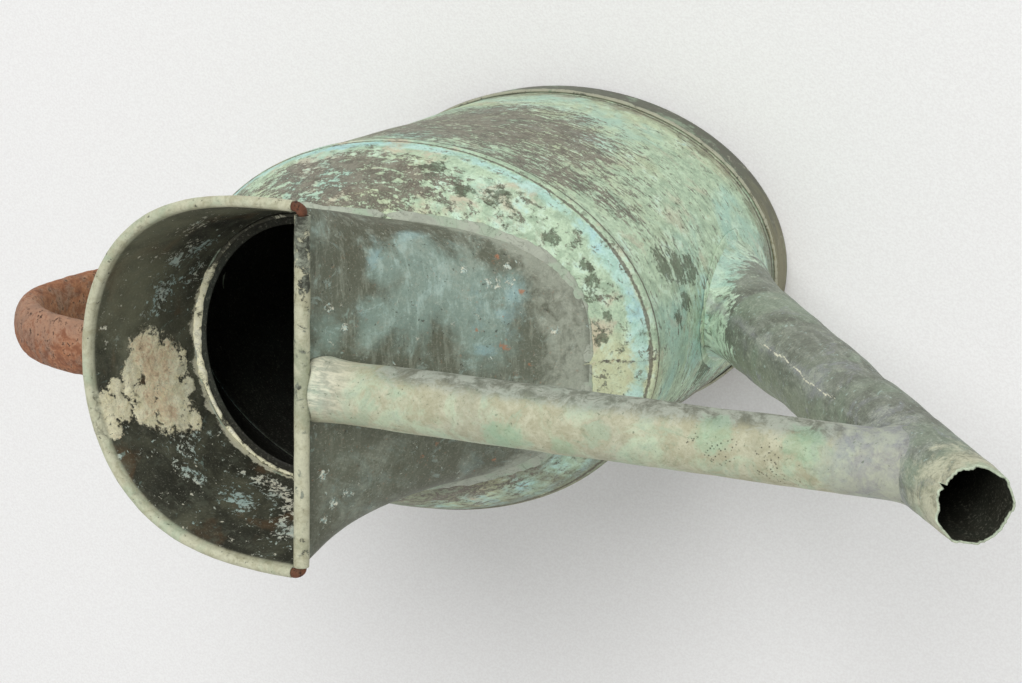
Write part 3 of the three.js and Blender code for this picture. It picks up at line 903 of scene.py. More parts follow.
@dataclass(frozen=True)
class HoodCoat:
    """Cream bead, verdigris outside and a near black inside with splashes and a crust.

    Painted values: bead, inside (the hood's outer side), crust, peach, splash, residue, olive.
    """

    name: str = "hood_coat"

    def build(self) -> Material:
        """Layers from the dark ground up: stains, splashes, crust, bead and outer side."""
        g = Graph(self.name)
        fine = g.noise(560, 5, 0.7)
        mid = g.noise(130, 9, 0.72, 0.6)
        cloud = g.noise(22, 8, 0.66, 0.6)
        scratch = g.noise(1, 7, 0.66, 0.6, g.stretched((90, 330, 110), (0.5, 0.3, 0)))
        ragged = g.sum((g.noise(64, 10, 0.74, 1), 0.6), (mid, 0.4))
        grit = g.sum((g.noise(460, 6, 0.72, 0.5), 0.55), (g.noise(150, 6, 0.7, 0.8), 0.45))
        colour = g.layers(
            g.mix(g.ramp(cloud, 0.4, 0.6), Patina.HOOD_DEEP, Patina.HOOD),
            (g.noise(34, 6, 0.6, 0.5), 0.54, 0.66, 0.7, Patina.HOOD_WARM),
            (g.spread("olive", cloud, 0.34, 0.2), 0.8, Patina.HOOD_OLIVE),
            (mid, 0.52, 0.64, 0.4, Patina.PANEL),
            (g.times(g.ramp(scratch, 0.62, 0.68), g.ramp(cloud, 0.44, 0.56)), 0.5, Patina.HAZE),
            (g.times(g.ramp(ragged, 0.6, 0.64), g.ramp(g.noise(14, 4, 0.5), 0.46, 0.6)), 0.7,
             Patina.HAZE_LIGHT),
            (g.noise(300, 3, 0.5), 0.7, 0.74, 0.8, Patina.BONE),
        )
        splash = g.spread("splash", grit, 0.2, 0.016)
        crust = g.spread("crust", g.sum((ragged, 0.6), (grit, 0.4)), 0.24, 0.02)
        scale = g.layers(
            g.mix(g.ramp(mid, 0.34, 0.54), Patina.CRUST_DEEP, Patina.CRUST),
            (cloud, 0.52, 0.64, 0.25, Patina.HAZE_LIGHT),
            (g.noise(80, 6, 0.7, 0.4), 0.54, 0.62, 0.4, Patina.STRAW),
            (g.spread("peach", g.sum((grit, 0.6), (mid, 0.4)), 0.16, 0.06), 0.4, Patina.PEACH),
            (g.times(g.paint("peach"), g.ramp(g.sum((grit, 0.5), (ragged, 0.5)), 0.5, 0.58)), 0.6,
             Iron.ORANGE),
            (fine, 0.58, 0.68, 0.25, Patina.SAND_DEEP),
            (g.veins(g.noise(150, 6, 0.7, 0.6), 0.012), 0.45, Patina.SAND_DEEP),
            (g.noise(170, 7, 0.7, 0.8), 0.6, 0.64, 0.9, Patina.PIT),
            (g.veins(g.noise(70, 9, 0.72, 1.4), 0.010), 0.35, Patina.HOOD),
        )
        residue = g.spread("residue", ragged, 0.3, 0.03)
        coat = g.layers(g.mix(g.ramp(mid, 0.36, 0.6), Patina.SAND, Patina.CREAM),
                        (cloud, 0.46, 0.62, 0.6, Patina.GREEN_DEEP),
                        (fine, 0.56, 0.68, 0.5, Patina.SAND_DEEP),
                        (g.noise(360, 4, 0.6), 0.64, 0.7, 0.8, Patina.PIT))
        outer = g.layers(
            g.mix(g.ramp(mid, 0.36, 0.6), Patina.GREEN_DEEP, Patina.MINT),
            (cloud, 0.46, 0.62, 0.6, Patina.BLUE_GREEN),
            (g.spread(0.42, g.sum((ragged, 0.5), (grit, 0.5)), 0.3, 0.03), 0.8, Patina.BARE_LIGHT),
        )
        outer_share = g.times(g.paint("inside"), g.math("SUBTRACT", 1.0, g.paint("bead")))
        colour = g.layers(
            colour,
            (splash, 0.95, g.mix(g.ramp(cloud, 0.4, 0.6), Patina.BONE, Patina.HAZE_LIGHT)),
            (residue, 0.9, g.mix(mid, Patina.SAND, Patina.BONE)),
            (crust, 1.0, scale),
            (g.paint("bead"), 1.0, coat),
            (outer_share, 1.0, outer),
        )
        height = g.sum((fine, 0.3), (mid, 0.4), (g.times(crust, grit), 1.5), (splash, 0.4))
        return g.finish(g.speckled(colour, 0.5), g.line(mid, 0.45, 0.4), height, 0.0005)


@dataclass(frozen=True)
class SpoutTarnish:
    """Wiped grey-green of the spout, with verdigris at the root and a pale scratch on its seam.

    Painted values: root, under, scratch, tip, lead, lip, inside. lean is the angle between the
    spout's axis and the vertical.
    """

    name: str = "spout_tarnish"
    lean: float = 0.6454

    def build(self) -> Material:
        """Soft marks along the spout between two greens, then the painted places."""
        g = Graph(self.name)
        wipe = g.noise(1, 7, 0.66, 0.4, g.stretched((260, 260, 60), (0, self.lean, 0)))
        fine = g.noise(520, 5, 0.7)
        mid = g.noise(110, 9, 0.72, 0.5)
        cloud = g.noise(26, 8, 0.66, 0.7)
        grain = g.noise(1, 8, 0.68, 0.5, g.stretched((110, 110, 240)))
        colour = g.layers(
            g.mix(g.ramp(cloud, 0.38, 0.6), Patina.LEAD_DEEP, Patina.LEAD),
            (wipe, 0.48, 0.64, 0.45, Patina.LEAD_LIGHT),
            (g.noise(19, 6, 0.6, 0.6), 0.48, 0.62, 0.35, Patina.GREEN_DEEP),
            (g.spread("under", cloud, 0.4, 0.25), 0.7, Patina.OLIVE),
            (mid, 0.5, 0.66, 0.3, Patina.LEAD_LIGHT),
            (g.noise(40, 8, 0.7, 0.8), 0.54, 0.64, 0.5, Patina.LAVENDER),
            (mid, 0.42, 0.32, 0.4, Patina.LEAD_DEEP),
            (g.noise(360, 4, 0.6), 0.62, 0.68, 0.55, Patina.HAZE_LIGHT),
        )
        green = g.layers(g.mix(g.ramp(mid, 0.36, 0.6), Patina.GREEN_DEEP, Patina.MINT),
                         (cloud, 0.5, 0.62, 0.6, Patina.BLUE_GREEN),
                         (grain, 0.56, 0.62, 0.7, Patina.MOSS))
        root = g.spread("root", g.sum((grain, 0.5), (mid, 0.5)), 0.24, 0.03)
        tip = g.spread("tip", g.sum((cloud, 0.4), (mid, 0.6)), 0.24, 0.08)
        pale = g.layers(g.mix(g.ramp(mid, 0.38, 0.6), Patina.SAND, Patina.CREAM),
                        (cloud, 0.46, 0.6, 0.6, Patina.GREEN_DEEP),
                        (fine, 0.56, 0.66, 0.4, Patina.LEAD))
        lump = g.noise(120, 8, 0.72, 0.5)
        lead = g.spread("lead", g.sum((lump, 0.4), (cloud, 0.6)), 0.24, 0.08)
        smear = g.layers(g.mix(g.ramp(lump, 0.38, 0.6), Patina.LAVENDER, Patina.LEAD_LIGHT),
                         (mid, 0.54, 0.6, 0.6, Patina.SOLDER),
                         (g.veins(lump, 0.02), 0.5, Patina.LEAD_DEEP))
        scratch = g.spread("scratch", g.sum((fine, 0.5), (mid, 0.5)), 0.34, 0.05)
        # Painted highlight: a pale band along the torn edge of the tip.
        lip_highlight = g.spread("lip_highlight", fine, 0.6, 0.06)
        colour = g.layers(
            colour,
            (root, 0.92, green),
            (tip, 0.9, pale),
            (lead, 0.8, smear),
            (scratch, 0.95, Patina.BONE),
            # Painted shade: the spout's inside turned near black.
            (g.paint("inside"), 0.95, Patina.INSIDE_SHADE),
            (lip_highlight, 0.8, g.mix(mid, Patina.SAND, Patina.MINT)),
        )
        height = g.sum((fine, 0.3), (mid, 0.5), (scratch, 0.5), (g.times(lead, lump), 1.2))
        return g.finish(g.speckled(colour), g.line(mid, 0.4, 0.4), height, 0.00035, 0.08)


@dataclass(frozen=True)
class BraceCoat:
    """Cream-green coat of the brace with a darker upper edge and scattered pits.

    Painted values: top, pitted, green, lead, pale.
    """

    name: str = "brace_coat"

    def build(self) -> Material:
        """Cream ground, green clouds, small pits in groups and a dark upper edge."""
        g = Graph(self.name)
        fine = g.noise(520, 5, 0.7)
        mid = g.noise(100, 9, 0.72, 0.5)
        cloud = g.noise(28, 8, 0.68, 0.7)
        broad = g.noise(13, 6, 0.6, 0.4)
        lump = g.noise(120, 8, 0.72, 0.5)
        wipe = g.noise(1, 7, 0.7, 0.4, g.stretched((70, 330, 330)))
        top = g.spread("top", g.sum((cloud, 0.5), (mid, 0.5)), 0.4, 0.14)
        green = g.spread("green", g.sum((cloud, 0.4), (mid, 0.6)), 0.22, 0.06)
        lead = g.spread("lead", g.sum((lump, 0.4), (cloud, 0.6)), 0.24, 0.08)
        crowd = g.math("MULTIPLY_ADD", g.paint("pitted"), 0.26, g.noise(60, 4, 0.6))
        pits = g.times(g.ramp(g.cells(680), 0.32, 0.20), g.ramp(crowd, 0.66, 0.74))
        colour = g.layers(
            g.mix(g.ramp(mid, 0.4, 0.66), Patina.SAND, Patina.CREAM),
            (broad, 0.42, 0.6, 0.4, Patina.SOLDER_DEEP),
            (cloud, 0.48, 0.62, 0.6, Patina.GREEN),
            (g.noise(50, 8, 0.7, 0.6), 0.54, 0.64, 0.55, Patina.GREEN_DEEP),
            (fine, 0.54, 0.66, 0.4, Patina.SAND_DEEP),
            (mid, 0.62, 0.7, 0.5, Patina.LEAD_LIGHT),
            (g.noise(85, 9, 0.74, 0.8), 0.57, 0.63, 0.45, Patina.OLIVE),
            (g.paint("pale"), 0.6, g.mix(g.ramp(wipe, 0.4, 0.6), Patina.LEAD_LIGHT, Patina.BONE)),
            (top, 0.9, g.mix(g.ramp(mid, 0.4, 0.6), Patina.LEAD_DEEP, Patina.LEAD_LIGHT)),
            (green, 0.4, Patina.LEAF),
            (lead, 0.75, g.mix(g.ramp(lump, 0.36, 0.62), Patina.LAVENDER, Patina.SOLDER)),
            (pits, 0.7, Patina.PIT),
            (g.noise(380, 4, 0.6), 0.64, 0.7, 0.6, Patina.MOSS),
        )
        height = g.sum((fine, 0.4), (mid, 0.6), (pits, -0.6), (g.times(lead, lump), 1.0))
        return g.finish(g.speckled(colour, 0.5), g.line(mid, 0.3, 0.5), height, 0.0004)


@dataclass(frozen=True)
class FootTarnish:
    """Brown-grey of the foot band, rubbed brassy where it sticks out most.

    Painted values: brassy, line, inside.
    """

    name: str = "foot_tarnish"

    def build(self) -> Material:
        """Dark ground with long marks round the band, a green film and brassy rubbing."""
        g = Graph(self.name)
        fine = g.noise(520, 5, 0.7)
        mid = g.noise(110, 9, 0.72, 0.4)
        mark = g.noise(1, 7, 0.66, 0.4, g.stretched((50, 50, 360)))
        cloud = g.noise(18, 7, 0.64, 0.5)
        brassy = g.spread("brassy", g.sum((cloud, 0.5), (mark, 0.5)), 0.3, 0.12)
        line = g.spread("line", mid, 0.3, 0.03)
        colour = g.layers(
            g.mix(g.ramp(mark, 0.4, 0.62), Patina.FOOT, Patina.PANEL),
            (cloud, 0.48, 0.64, 0.6, Patina.LEAD_DEEP),
            (g.noise(40, 8, 0.7, 0.5), 0.52, 0.62, 0.6, Patina.GREEN_DEEP),
            (brassy, 0.7, Patina.BRASSY),
            (mid, 0.56, 0.64, 0.5, Patina.FOOT_LIGHT),
            (line, 0.8, g.mix(mid, Patina.FOOT_LIGHT, Patina.CREAM)),
            (fine, 0.62, 0.7, 0.6, Patina.PIT),
        )
        return g.finish(colour, g.line(brassy, -0.15, 0.6), g.sum((fine, 0.4), (mid, 0.6)), 0.0003, 0.2)


@dataclass(frozen=True)
class Rust:
    """Layered rust on iron: orange bloom, red-brown ground, grey scale and dark pits.

    Painted value: grey, where the rust is paler: rubbed pale in places, and on the handle's upper side
    painted light. depth is how far it tends to the dark.
    """

    name: str
    depth: float = 0.0

    def build(self) -> Material:
        """Four noises from broad to fine pick between the rust's colours and pit its face."""
        g = Graph(self.name)
        fine = g.noise(620, 5, 0.72)
        grain = g.noise(210, 9, 0.72, 0.4)
        patch = g.noise(60, 9, 0.7, 0.6)
        pits = g.ramp(g.sum((grain, 0.6), (fine, 0.4)), 0.55, 0.61)
        colour = g.layers(
            g.mix(g.ramp(grain, 0.38, 0.58), Iron.RED, Iron.ORANGE),
            (patch, 0.48, 0.58, 0.75, Iron.DEEP),
            # The grey value: pale rubbed rust, and on the handle's upper side painted light.
            (g.spread("grey", g.sum((patch, 0.5), (grain, 0.5)), 0.2, 0.06), 0.55, Iron.PALE),
            (fine, 0.42, 0.32, 0.5, Iron.PALE),
            (pits, 0.85, Iron.BLACK),
        )
        colour = g.mix(self.depth, colour, g.mix(g.ramp(grain, 0.4, 0.6), Iron.DEEP, Iron.BLACK))
        height = g.sum((fine, 0.5), (grain, 1.1), (patch, 0.8), (pits, -0.6))
        return g.finish(colour, 0.9, height, 0.0009)


@dataclass(frozen=True)
class SolderCoat:
    """Old solder: pale grey, smeared, with green creeping in from the copper.

    Painted value: faint, where the run is worn down to the dark metal.
    """

    name: str
    pale: Tint = Patina.SOLDER
    deep: Tint = Patina.SOLDER_DEEP
    film: Tint = Patina.GREEN_DEEP
    share: float = 0.6

    def build(self) -> Material:
        """Cloudy mix of the pale and the deep colour under a broken film, with dark gaps."""
        g = Graph(self.name)
        fine = g.noise(520, 5, 0.7)
        mid = g.noise(130, 9, 0.72, 0.8)
        cloud = g.noise(42, 8, 0.68, 0.9)
        colour = g.layers(
            g.mix(g.ramp(mid, 0.36, 0.58), self.deep, self.pale),
            (cloud, 0.46, 0.58, self.share, self.film),
            (fine, 0.58, 0.68, 0.5, Patina.LEAD_DEEP),
            (g.veins(g.noise(75, 6, 0.6, 1.2), 0.02), 0.45, Patina.LEAD_DEEP),
            (g.spread("faint", g.sum((cloud, 0.4), (mid, 0.6)), 0.24, 0.03), 0.95, Patina.HOOD_DEEP),
        )
        return g.finish(colour, g.line(mid, 0.3, 0.5), g.sum((fine, 0.4), (mid, 1.0)), 0.0005)


@dataclass(frozen=True)
class PaleFloor:
    """Plain pale cloth-like floor."""

    name: str = "pale_floor"

    def build(self) -> Material:
        """Near white with a very faint grain."""
        g = Graph(self.name)
        weave = g.noise(700, 3, 0.6)
        return g.finish(g.mix(g.ramp(weave, 0.3, 0.7), Cloth.SHADE, Cloth.LIGHT), 0.95, weave, 0.0002)


# The pieces


@dataclass
class Piece:
    """Common part of every piece: it names the object and the node it stands for."""

    form: CanForm

    def place(self, surface: Surface, name: str, slot: str, material: Material,
              node: str = "") -> None:
        """Makes the object and ties it to the frame.

        Args:
            surface: Its mesh.
            name: Its name.
            slot: Name of a material slot; not used.
            material: Its material.
            node: The CAD node it replaces, or nothing.
        """
        piece = surface.to_object(name, material)
        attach(piece, "root")
        if node:
            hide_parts(node)
        log.info("%s: %d points, %d quads", name, len(surface.points), len(surface.quads))


@dataclass
class BodyWall(Piece):
    """Oval wall of the body, dented, with a lap seam at its back and a groove over the foot."""

    columns: int = 420
    rows: int = 96
    foot: float = 0.0015
    seam_rise: float = 0.0007
    seam_span: tuple[tuple[float, float], ...] = ((-0.06, -0.055), (0.0, 0.07))
    groove_height: float = 0.0235
    groove_depth: float = 0.0007
    dent_width: float = 0.026
    dents: tuple[tuple[float, float, float], ...] = (
        (1.9, 0.10, 0.0016), (2.6, 0.15, 0.0012), (-0.9, 0.12, 0.0018), (-2.2, 0.07, 0.0014),
    )
    marks: ClassVar[Marks] = {
        "dark": (
            (125, 41, 182, 9), (127, 36, 165, 10), (129, 32, 150, 8), (134, 19, 168, 6),
            (136, 14, 184, 5), (131, -30, 120, 12),
        ),
        "blue": (
            (134, 12, 45, 14), (136, 4, 140, 18), (135, -10, 150, 14), (132, 24, 90, 12),
        ),
    }

    def grid(self) -> Array:
        """The tapered oval, moved out by broad noise and the lap, in by soft dents and a groove."""
        top = self.form.shoulder_height - self.form.gap
        height = np.unique(ladder((self.foot, top, self.rows), (0.021, 0.029, 10)))
        angle, z = np.meshgrid(round_angles(self.columns), height)
        grid = self.form.wall(angle, z)
        move = 0.0005 * fractal(grid, 0.07, 3, 5) + 0.00012 * fractal(grid, 0.012, 2, 8)
        move += self.seam_rise * between(centred(angle - np.pi), *self.seam_span)
        for at, dent_z, depth in self.dents:
            away = centred(angle - at) * 0.11
            move -= depth * bell(np.hypot(away, z - dent_z), self.dent_width)
        edge = between(z, (self.foot, 0.03), (0.205, 0.216))
        groove = self.groove_depth * bell(z - self.groove_height, 0.0011)
        return grid + grid_normals(grid, True) * (move * edge - groove)[..., None]

    def build(self, finish: Material) -> None:
        """Builds the wall with its worn flank, dark patches and blue places."""
        grid = self.grid()
        outward = unit(grid * LEVEL)
        surface = shell(grid, grid - outward * self.form.sheet, True)
        points = surface.points
        x, y, z = points.T
        flank = 1 - smooth(np.hypot((x + 0.008) / 0.110, (z - 0.142) / 0.084), 0.40, 1.22)
        streak = between(z + 0.9 * x, (0.215, 0.245), (0.262, 0.30)) * smooth(z, 0.165, 0.18)
        far = smooth(fractal(points, 0.09, 3, 21), -0.15, 0.5)
        near = np.maximum(flank, 0.8 * streak) * smooth(y, -0.005, 0.035)
        paint = surface.paint
        paint["worn"] = 0.9 * near + 0.8 * far * smooth(-y, 0.02, 0.06)
        dark = spots(points, self.marks["dark"])
        paint["dark"] = np.maximum(0.85 * dark, 0.3 * smooth(-y, 0.02, 0.08))
        blue = spots(points, self.marks["blue"])
        paint["band"] = np.maximum(0.75 * blue, 0.7 * bell(z - 0.224, 0.006))
        groove = bell(z - self.groove_height, 0.0012)
        paint["seam"] = np.maximum(groove, 0.8 * bell(z - 0.2172, 0.0010))
        # Brown band over the foot, and the -Y flank browner and darker: brownish tarnish, partly painted
        # shade.
        paint["brown"] = np.maximum(0.75 * bell(z - 0.026, 0.010), 0.9 * smooth(-y, 0.03, 0.09))
        self.place(surface, "body_wall_sheet", "verdigris", finish, "body_wall")


@dataclass
class FootBand(Piece):
    """Band round the foot with a small bead along its upper edge."""

    columns: int = 420
    height: float = 0.021
    thickness: float = 0.0012
    bead: tuple[float, float, float] = (0.0192, 0.0014, 0.0006)
    groove: tuple[float, float, float] = (0.0160, 0.0010, 0.0003)

    def build(self, finish: Material) -> None:
        """The wall's oval plus the band's profile: flat, a shallow groove and a bead on top.

        The bead and the groove are soft bumps, each with a height on the band, a width and a depth.
        """
        height = ladder((0.0, 0.016, 14), (0.0165, self.height, 14))
        angle, z = np.meshgrid(round_angles(self.columns), height)
        inner = self.form.wall(angle, z, self.form.gap)
        out = unit(inner * LEVEL)
        profile = self.thickness
        for (at, width, depth), way in ((self.bead, 1.0), (self.groove, -1.0)):
            profile = profile + way * depth * bell(z - at, width)
        profile *= np.where(z > 0.0205, 0.75, 1.0)
        outer = inner + out * profile[..., None]
        ripple = 0.00035 * fractal(outer, 0.03, 3, 41) * smooth(z, 0.0, 0.004)
        surface = shell(outer + out * ripple[..., None], inner, True)
        x, y, z = surface.points.T
        paint = surface.paint
        paint["brassy"] = 0.85 * smooth(x - y * 0.3, 0.075, 0.14)
        paint["line"] = 0.9 * bell(z - 0.0205, 0.0010)
        self.place(surface, "foot_band_sheet", "brassy_copper", finish, "foot_band")


@dataclass
class ShoulderDome(Piece):
    """Dome between wall and neck, lapped over the wall, with a soldered joint in its front."""

    columns: int = 440
    rows: int = 74
    marks: ClassVar[Marks] = {
        "dark": (
            (87, 63, 241, 5), (105, 49, 237, 4), (108, 41, 238, 4), (108, 35, 241, 4),
            (118, 24, 238, 3), (116, 13, 242, 4), (112, 16, 245, 3), (55, 80, 243, 6),
            (63, 77, 240, 5), (20, 92, 243, 6), (40, 84, 249, 5),
        ),
        "blue": (
            (30, -92, 243, 10), (50, -87, 242, 12), (75, -76, 241, 12), (95, -60, 240, 10),
        ),
    }

    def grid(self) -> Array:
        """The lap's straight run, a rounded edge, the bulged cone and the ledge round the neck."""
        form = self.form
        angle = round_angles(self.columns)
        proud = form.gap + form.sheet
        lap_z = np.linspace(form.shoulder_height - form.lap, form.shoulder_height - 0.0008, 6)
        lap = form.wall(angle[None], lap_z[:, None], proud)
        share = ladder((0.006, 0.06, 16), (0.07, 1.0, self.rows))
        cone = form.dome(angle[None], share[:, None])
        steps = np.linspace(0.2, 1.0, 5)[:, None, None]
        middle = cone[-1].mean(axis=0)
        radial = unit((cone[-1] - middle) * LEVEL)
        ledge = cone[-1][None] - radial[None] * form.ledge * steps
        return np.concatenate([lap, cone, ledge])

    def build(self, finish: Verdigris) -> None:
        """Adds noise, the groove inside the edge and the front joint, then paints the dome."""
        grid = self.grid()
        x, y, z = np.moveaxis(grid, -1, 0)
        share = self.form.dome_share(x, y)
        normal = grid_normals(grid, True)
        rise = between(share, (0.03, 0.12), (0.93, 0.99))
        move = rise * (0.0007 * fractal(grid, 0.06, 3, 51) + 0.00015 * fractal(grid, 0.01, 2, 52))
        move -= 0.0006 * bell(share - 0.035, 0.012) * (z > 0.2225)
        wave = y - 0.0015 * fractal(grid, 0.02, 2, 55)
        front = smooth(x, 0.09, 0.10) * smooth(share, 0.0, 0.03)
        move += 0.0007 * front * between(wave, (-0.0012, -0.0004), (0.0, 0.007))
        grid = grid + normal * move[..., None]
        surface = shell(grid, grid - normal * self.form.sheet, True)
        points = surface.points
        x, y, z = points.T
        share = self.form.dome_share(x, y)
        top_flank = smooth(y, 0.045, 0.085) * (1 - smooth(x, -0.01, 0.085))
        top_flank *= smooth(share, 0.08, 0.28)
        far = 0.8 * smooth(fractal(points, 0.07, 3, 57), -0.1, 0.5) * smooth(share, 0.08, 0.2)
        paint = surface.paint
        paint["worn"] = 0.74 * top_flank * smooth(y, 0.0, 0.03) + far * smooth(-y, 0.0, 0.03)
        paint["dark"] = 0.7 * spots(points, self.marks["dark"])
        blue = spots(points, self.marks["blue"])
        band = 0.85 * bell(share - 0.062, 0.040) * smooth(share, 0.02, 0.04)
        paint["band"] = np.maximum(band, 0.6 * blue)
        joint = bell(y - 0.0015 * fractal(points, 0.02, 2, 55), 0.0011) * smooth(x, 0.09, 0.1)
        edge = np.maximum(bell(z - 0.2190, 0.0010), 0.9 * bell(share - 0.024, 0.010) * (z > 0.2222))
        paint["seam"] = np.maximum(edge, 0.55 * joint)
        # The -Y side browner and darker: brownish tarnish, partly painted shade.
        paint["brown"] = smooth(-y, 0.02, 0.07) * (1 - 0.7 * blue)
        # Painted shade: the ledge round the neck takes the near black of the insides.
        paint["inside"] = np.maximum(paint["inside"], (share > 0.985) * 1.0)
        self.place(surface, "shoulder_dome_sheet", "verdigris", finish.build(), "shoulder_dome")


@dataclass
class Hood(Piece):
    """Flaring hood behind the mouth, rolled over the wire at its rim."""

    columns: int = 380
    wall_rows: int = 74
    bead_rows: int = 22
    notch: float = 0.0052
    marks: ClassVar[Marks] = {
        "peach": (
            (-104, -4, 326, 8), (-100, -14, 322, 9), (-97, -26, 322, 10), (-102, -10, 312, 7),
            (-95, -36, 318, 6),
        ),
        "splash": (
            (-102.5, 19, 319.6, 6), (-113, 14, 350.7, 2.4), (-90, 34, 300, 7), (-88, 45, 318, 7),
            (-84, 48, 312, 8), (-80, 52, 306, 6), (-99, 28, 316.7, 8), (-78.4, -63.3, 330.2, 5),
            (-73, -66, 327, 4), (-59.1, -67.8, 303.7, 3), (-49, -71.5, 302.6, 6), (-42, -73, 303, 7),
            (-36, -75, 306.6, 8), (-28, -77, 310, 7), (-52, -75.6, 324.4, 8), (-46, -77, 326, 7),
            (-12.7, -83.4, 338.9, 8), (-20, -81, 330, 6), (-101, -50, 357.6, 2.2), (-66, 62, 330, 9),
            (-58, 66, 335, 8), (-95, -52, 322, 7), (-88, -55, 316, 8), (-20, -80, 318, 9),
            (-8, -80, 322, 8),
        ),
        "olive": (
            (-108, 22, 345, 22), (-100, 45, 345, 24), (-80, 66, 345, 24), (-50, 78, 345, 24),
            (-20, 84, 345, 20),
        ),
        "crust": (
            (-104, -4, 324, 12), (-99, -16, 314, 15), (-95, -32, 316, 15), (-97, -28, 328, 12),
            (-104, -12, 334, 9), (-101, -22, 338, 8), (-105, -28, 346, 8), (-108, -36, 355, 7),
            (-110, -26, 352, 7), (-95, -10, 300, 4), (-94, -26, 300, 5), (-86, -42, 305, 5),
            (-102, -34, 330, 9), (-107, -18, 346, 6),
        ),
    }

    def build(self, finish: HoodCoat) -> None:
        """Builds the rolled sheet, its bead cut back at both corners, and paints its inside."""
        form = self.form
        roll = Rolled(form.wire + form.gap + form.sheet)
        wall, turn = roll.rows(self.wall_rows, self.bead_rows)
        share = to_ends(self.columns, 1.4)
        start = form.rim_share(form.bar_bead + form.gap)
        pull = (form.rim_share(self.notch) - start) * np.where(turn > 0, 1.0, smooth(wall, 0.93, 1.0))
        share, wall = np.meshgrid(share, wall)
        turn = np.broadcast_to(turn[:, None], share.shape)
        pulled = pull[:, None] + (1 - 2 * pull[:, None]) * share
        at = blend(start, 1 - start, pulled)
        tangent = unit(form.rim(at + 1e-4) - form.rim(at - 1e-4))
        seam, hollow = form.hood_seam(pulled), np.zeros_like(wall)
        grid = roll.surface(seam, form.rim(at), tangent, wall, turn, hollow)
        normal = grid_normals(grid, False)
        soft = between(wall, (0.02, 0.25), (0.9, 1.0))
        move = soft * (0.0009 * fractal(grid, 0.05, 3, 61) + 0.0002 * fractal(grid, 0.012, 2, 62))
        bead = np.where(turn > 0, 0.00022 * fractal(grid, 0.009, 3, 63), 0.0)
        grid = grid + normal * (move + bead)[..., None]
        crust = self.crust(grid)
        ragged = smooth(crust + 0.5 * fractal(grid, 0.009, 4, 64), 0.35, 0.6)
        lumps = ragged * (0.0006 + 0.0005 * fractal(grid, 0.004, 3, 65))
        lumps *= (turn == 0) * (wall > 0.02)
        surface = shell(grid - normal * lumps[..., None], grid + normal * form.sheet, False)
        points = surface.points
        paint = surface.paint
        paint["bead"] = both_sides((smooth(wall, 0.955, 0.985) + (turn > 0)).clip(0, 1))
        paint["crust"] = 0.95 * self.crust(points)
        paint["peach"] = 0.75 * spots(points, self.marks["peach"])
        paint["splash"] = 0.5 * spots(points, self.marks["splash"])
        paint["olive"] = spots(points, self.marks["olive"])
        along = both_sides(wall)
        side = smooth(-points[:, 0], 0.03, 0.09) * (1 - smooth(points[:, 1], 0.0, 0.05))
        strength = 0.2 + 0.5 * smooth(-points[:, 1], -0.05, 0.0)
        paint["residue"] = bell(along - 0.02, 0.03 + 0.03 * side) * strength
        self.place(surface, "hood_sheet", "pale_verdigris", finish.build(), "hood")

    def crust(self, points: Array) -> Array:
        """Where the thick crust lies: soft spots that join into one patch."""
        return spots(points, self.marks["crust"])


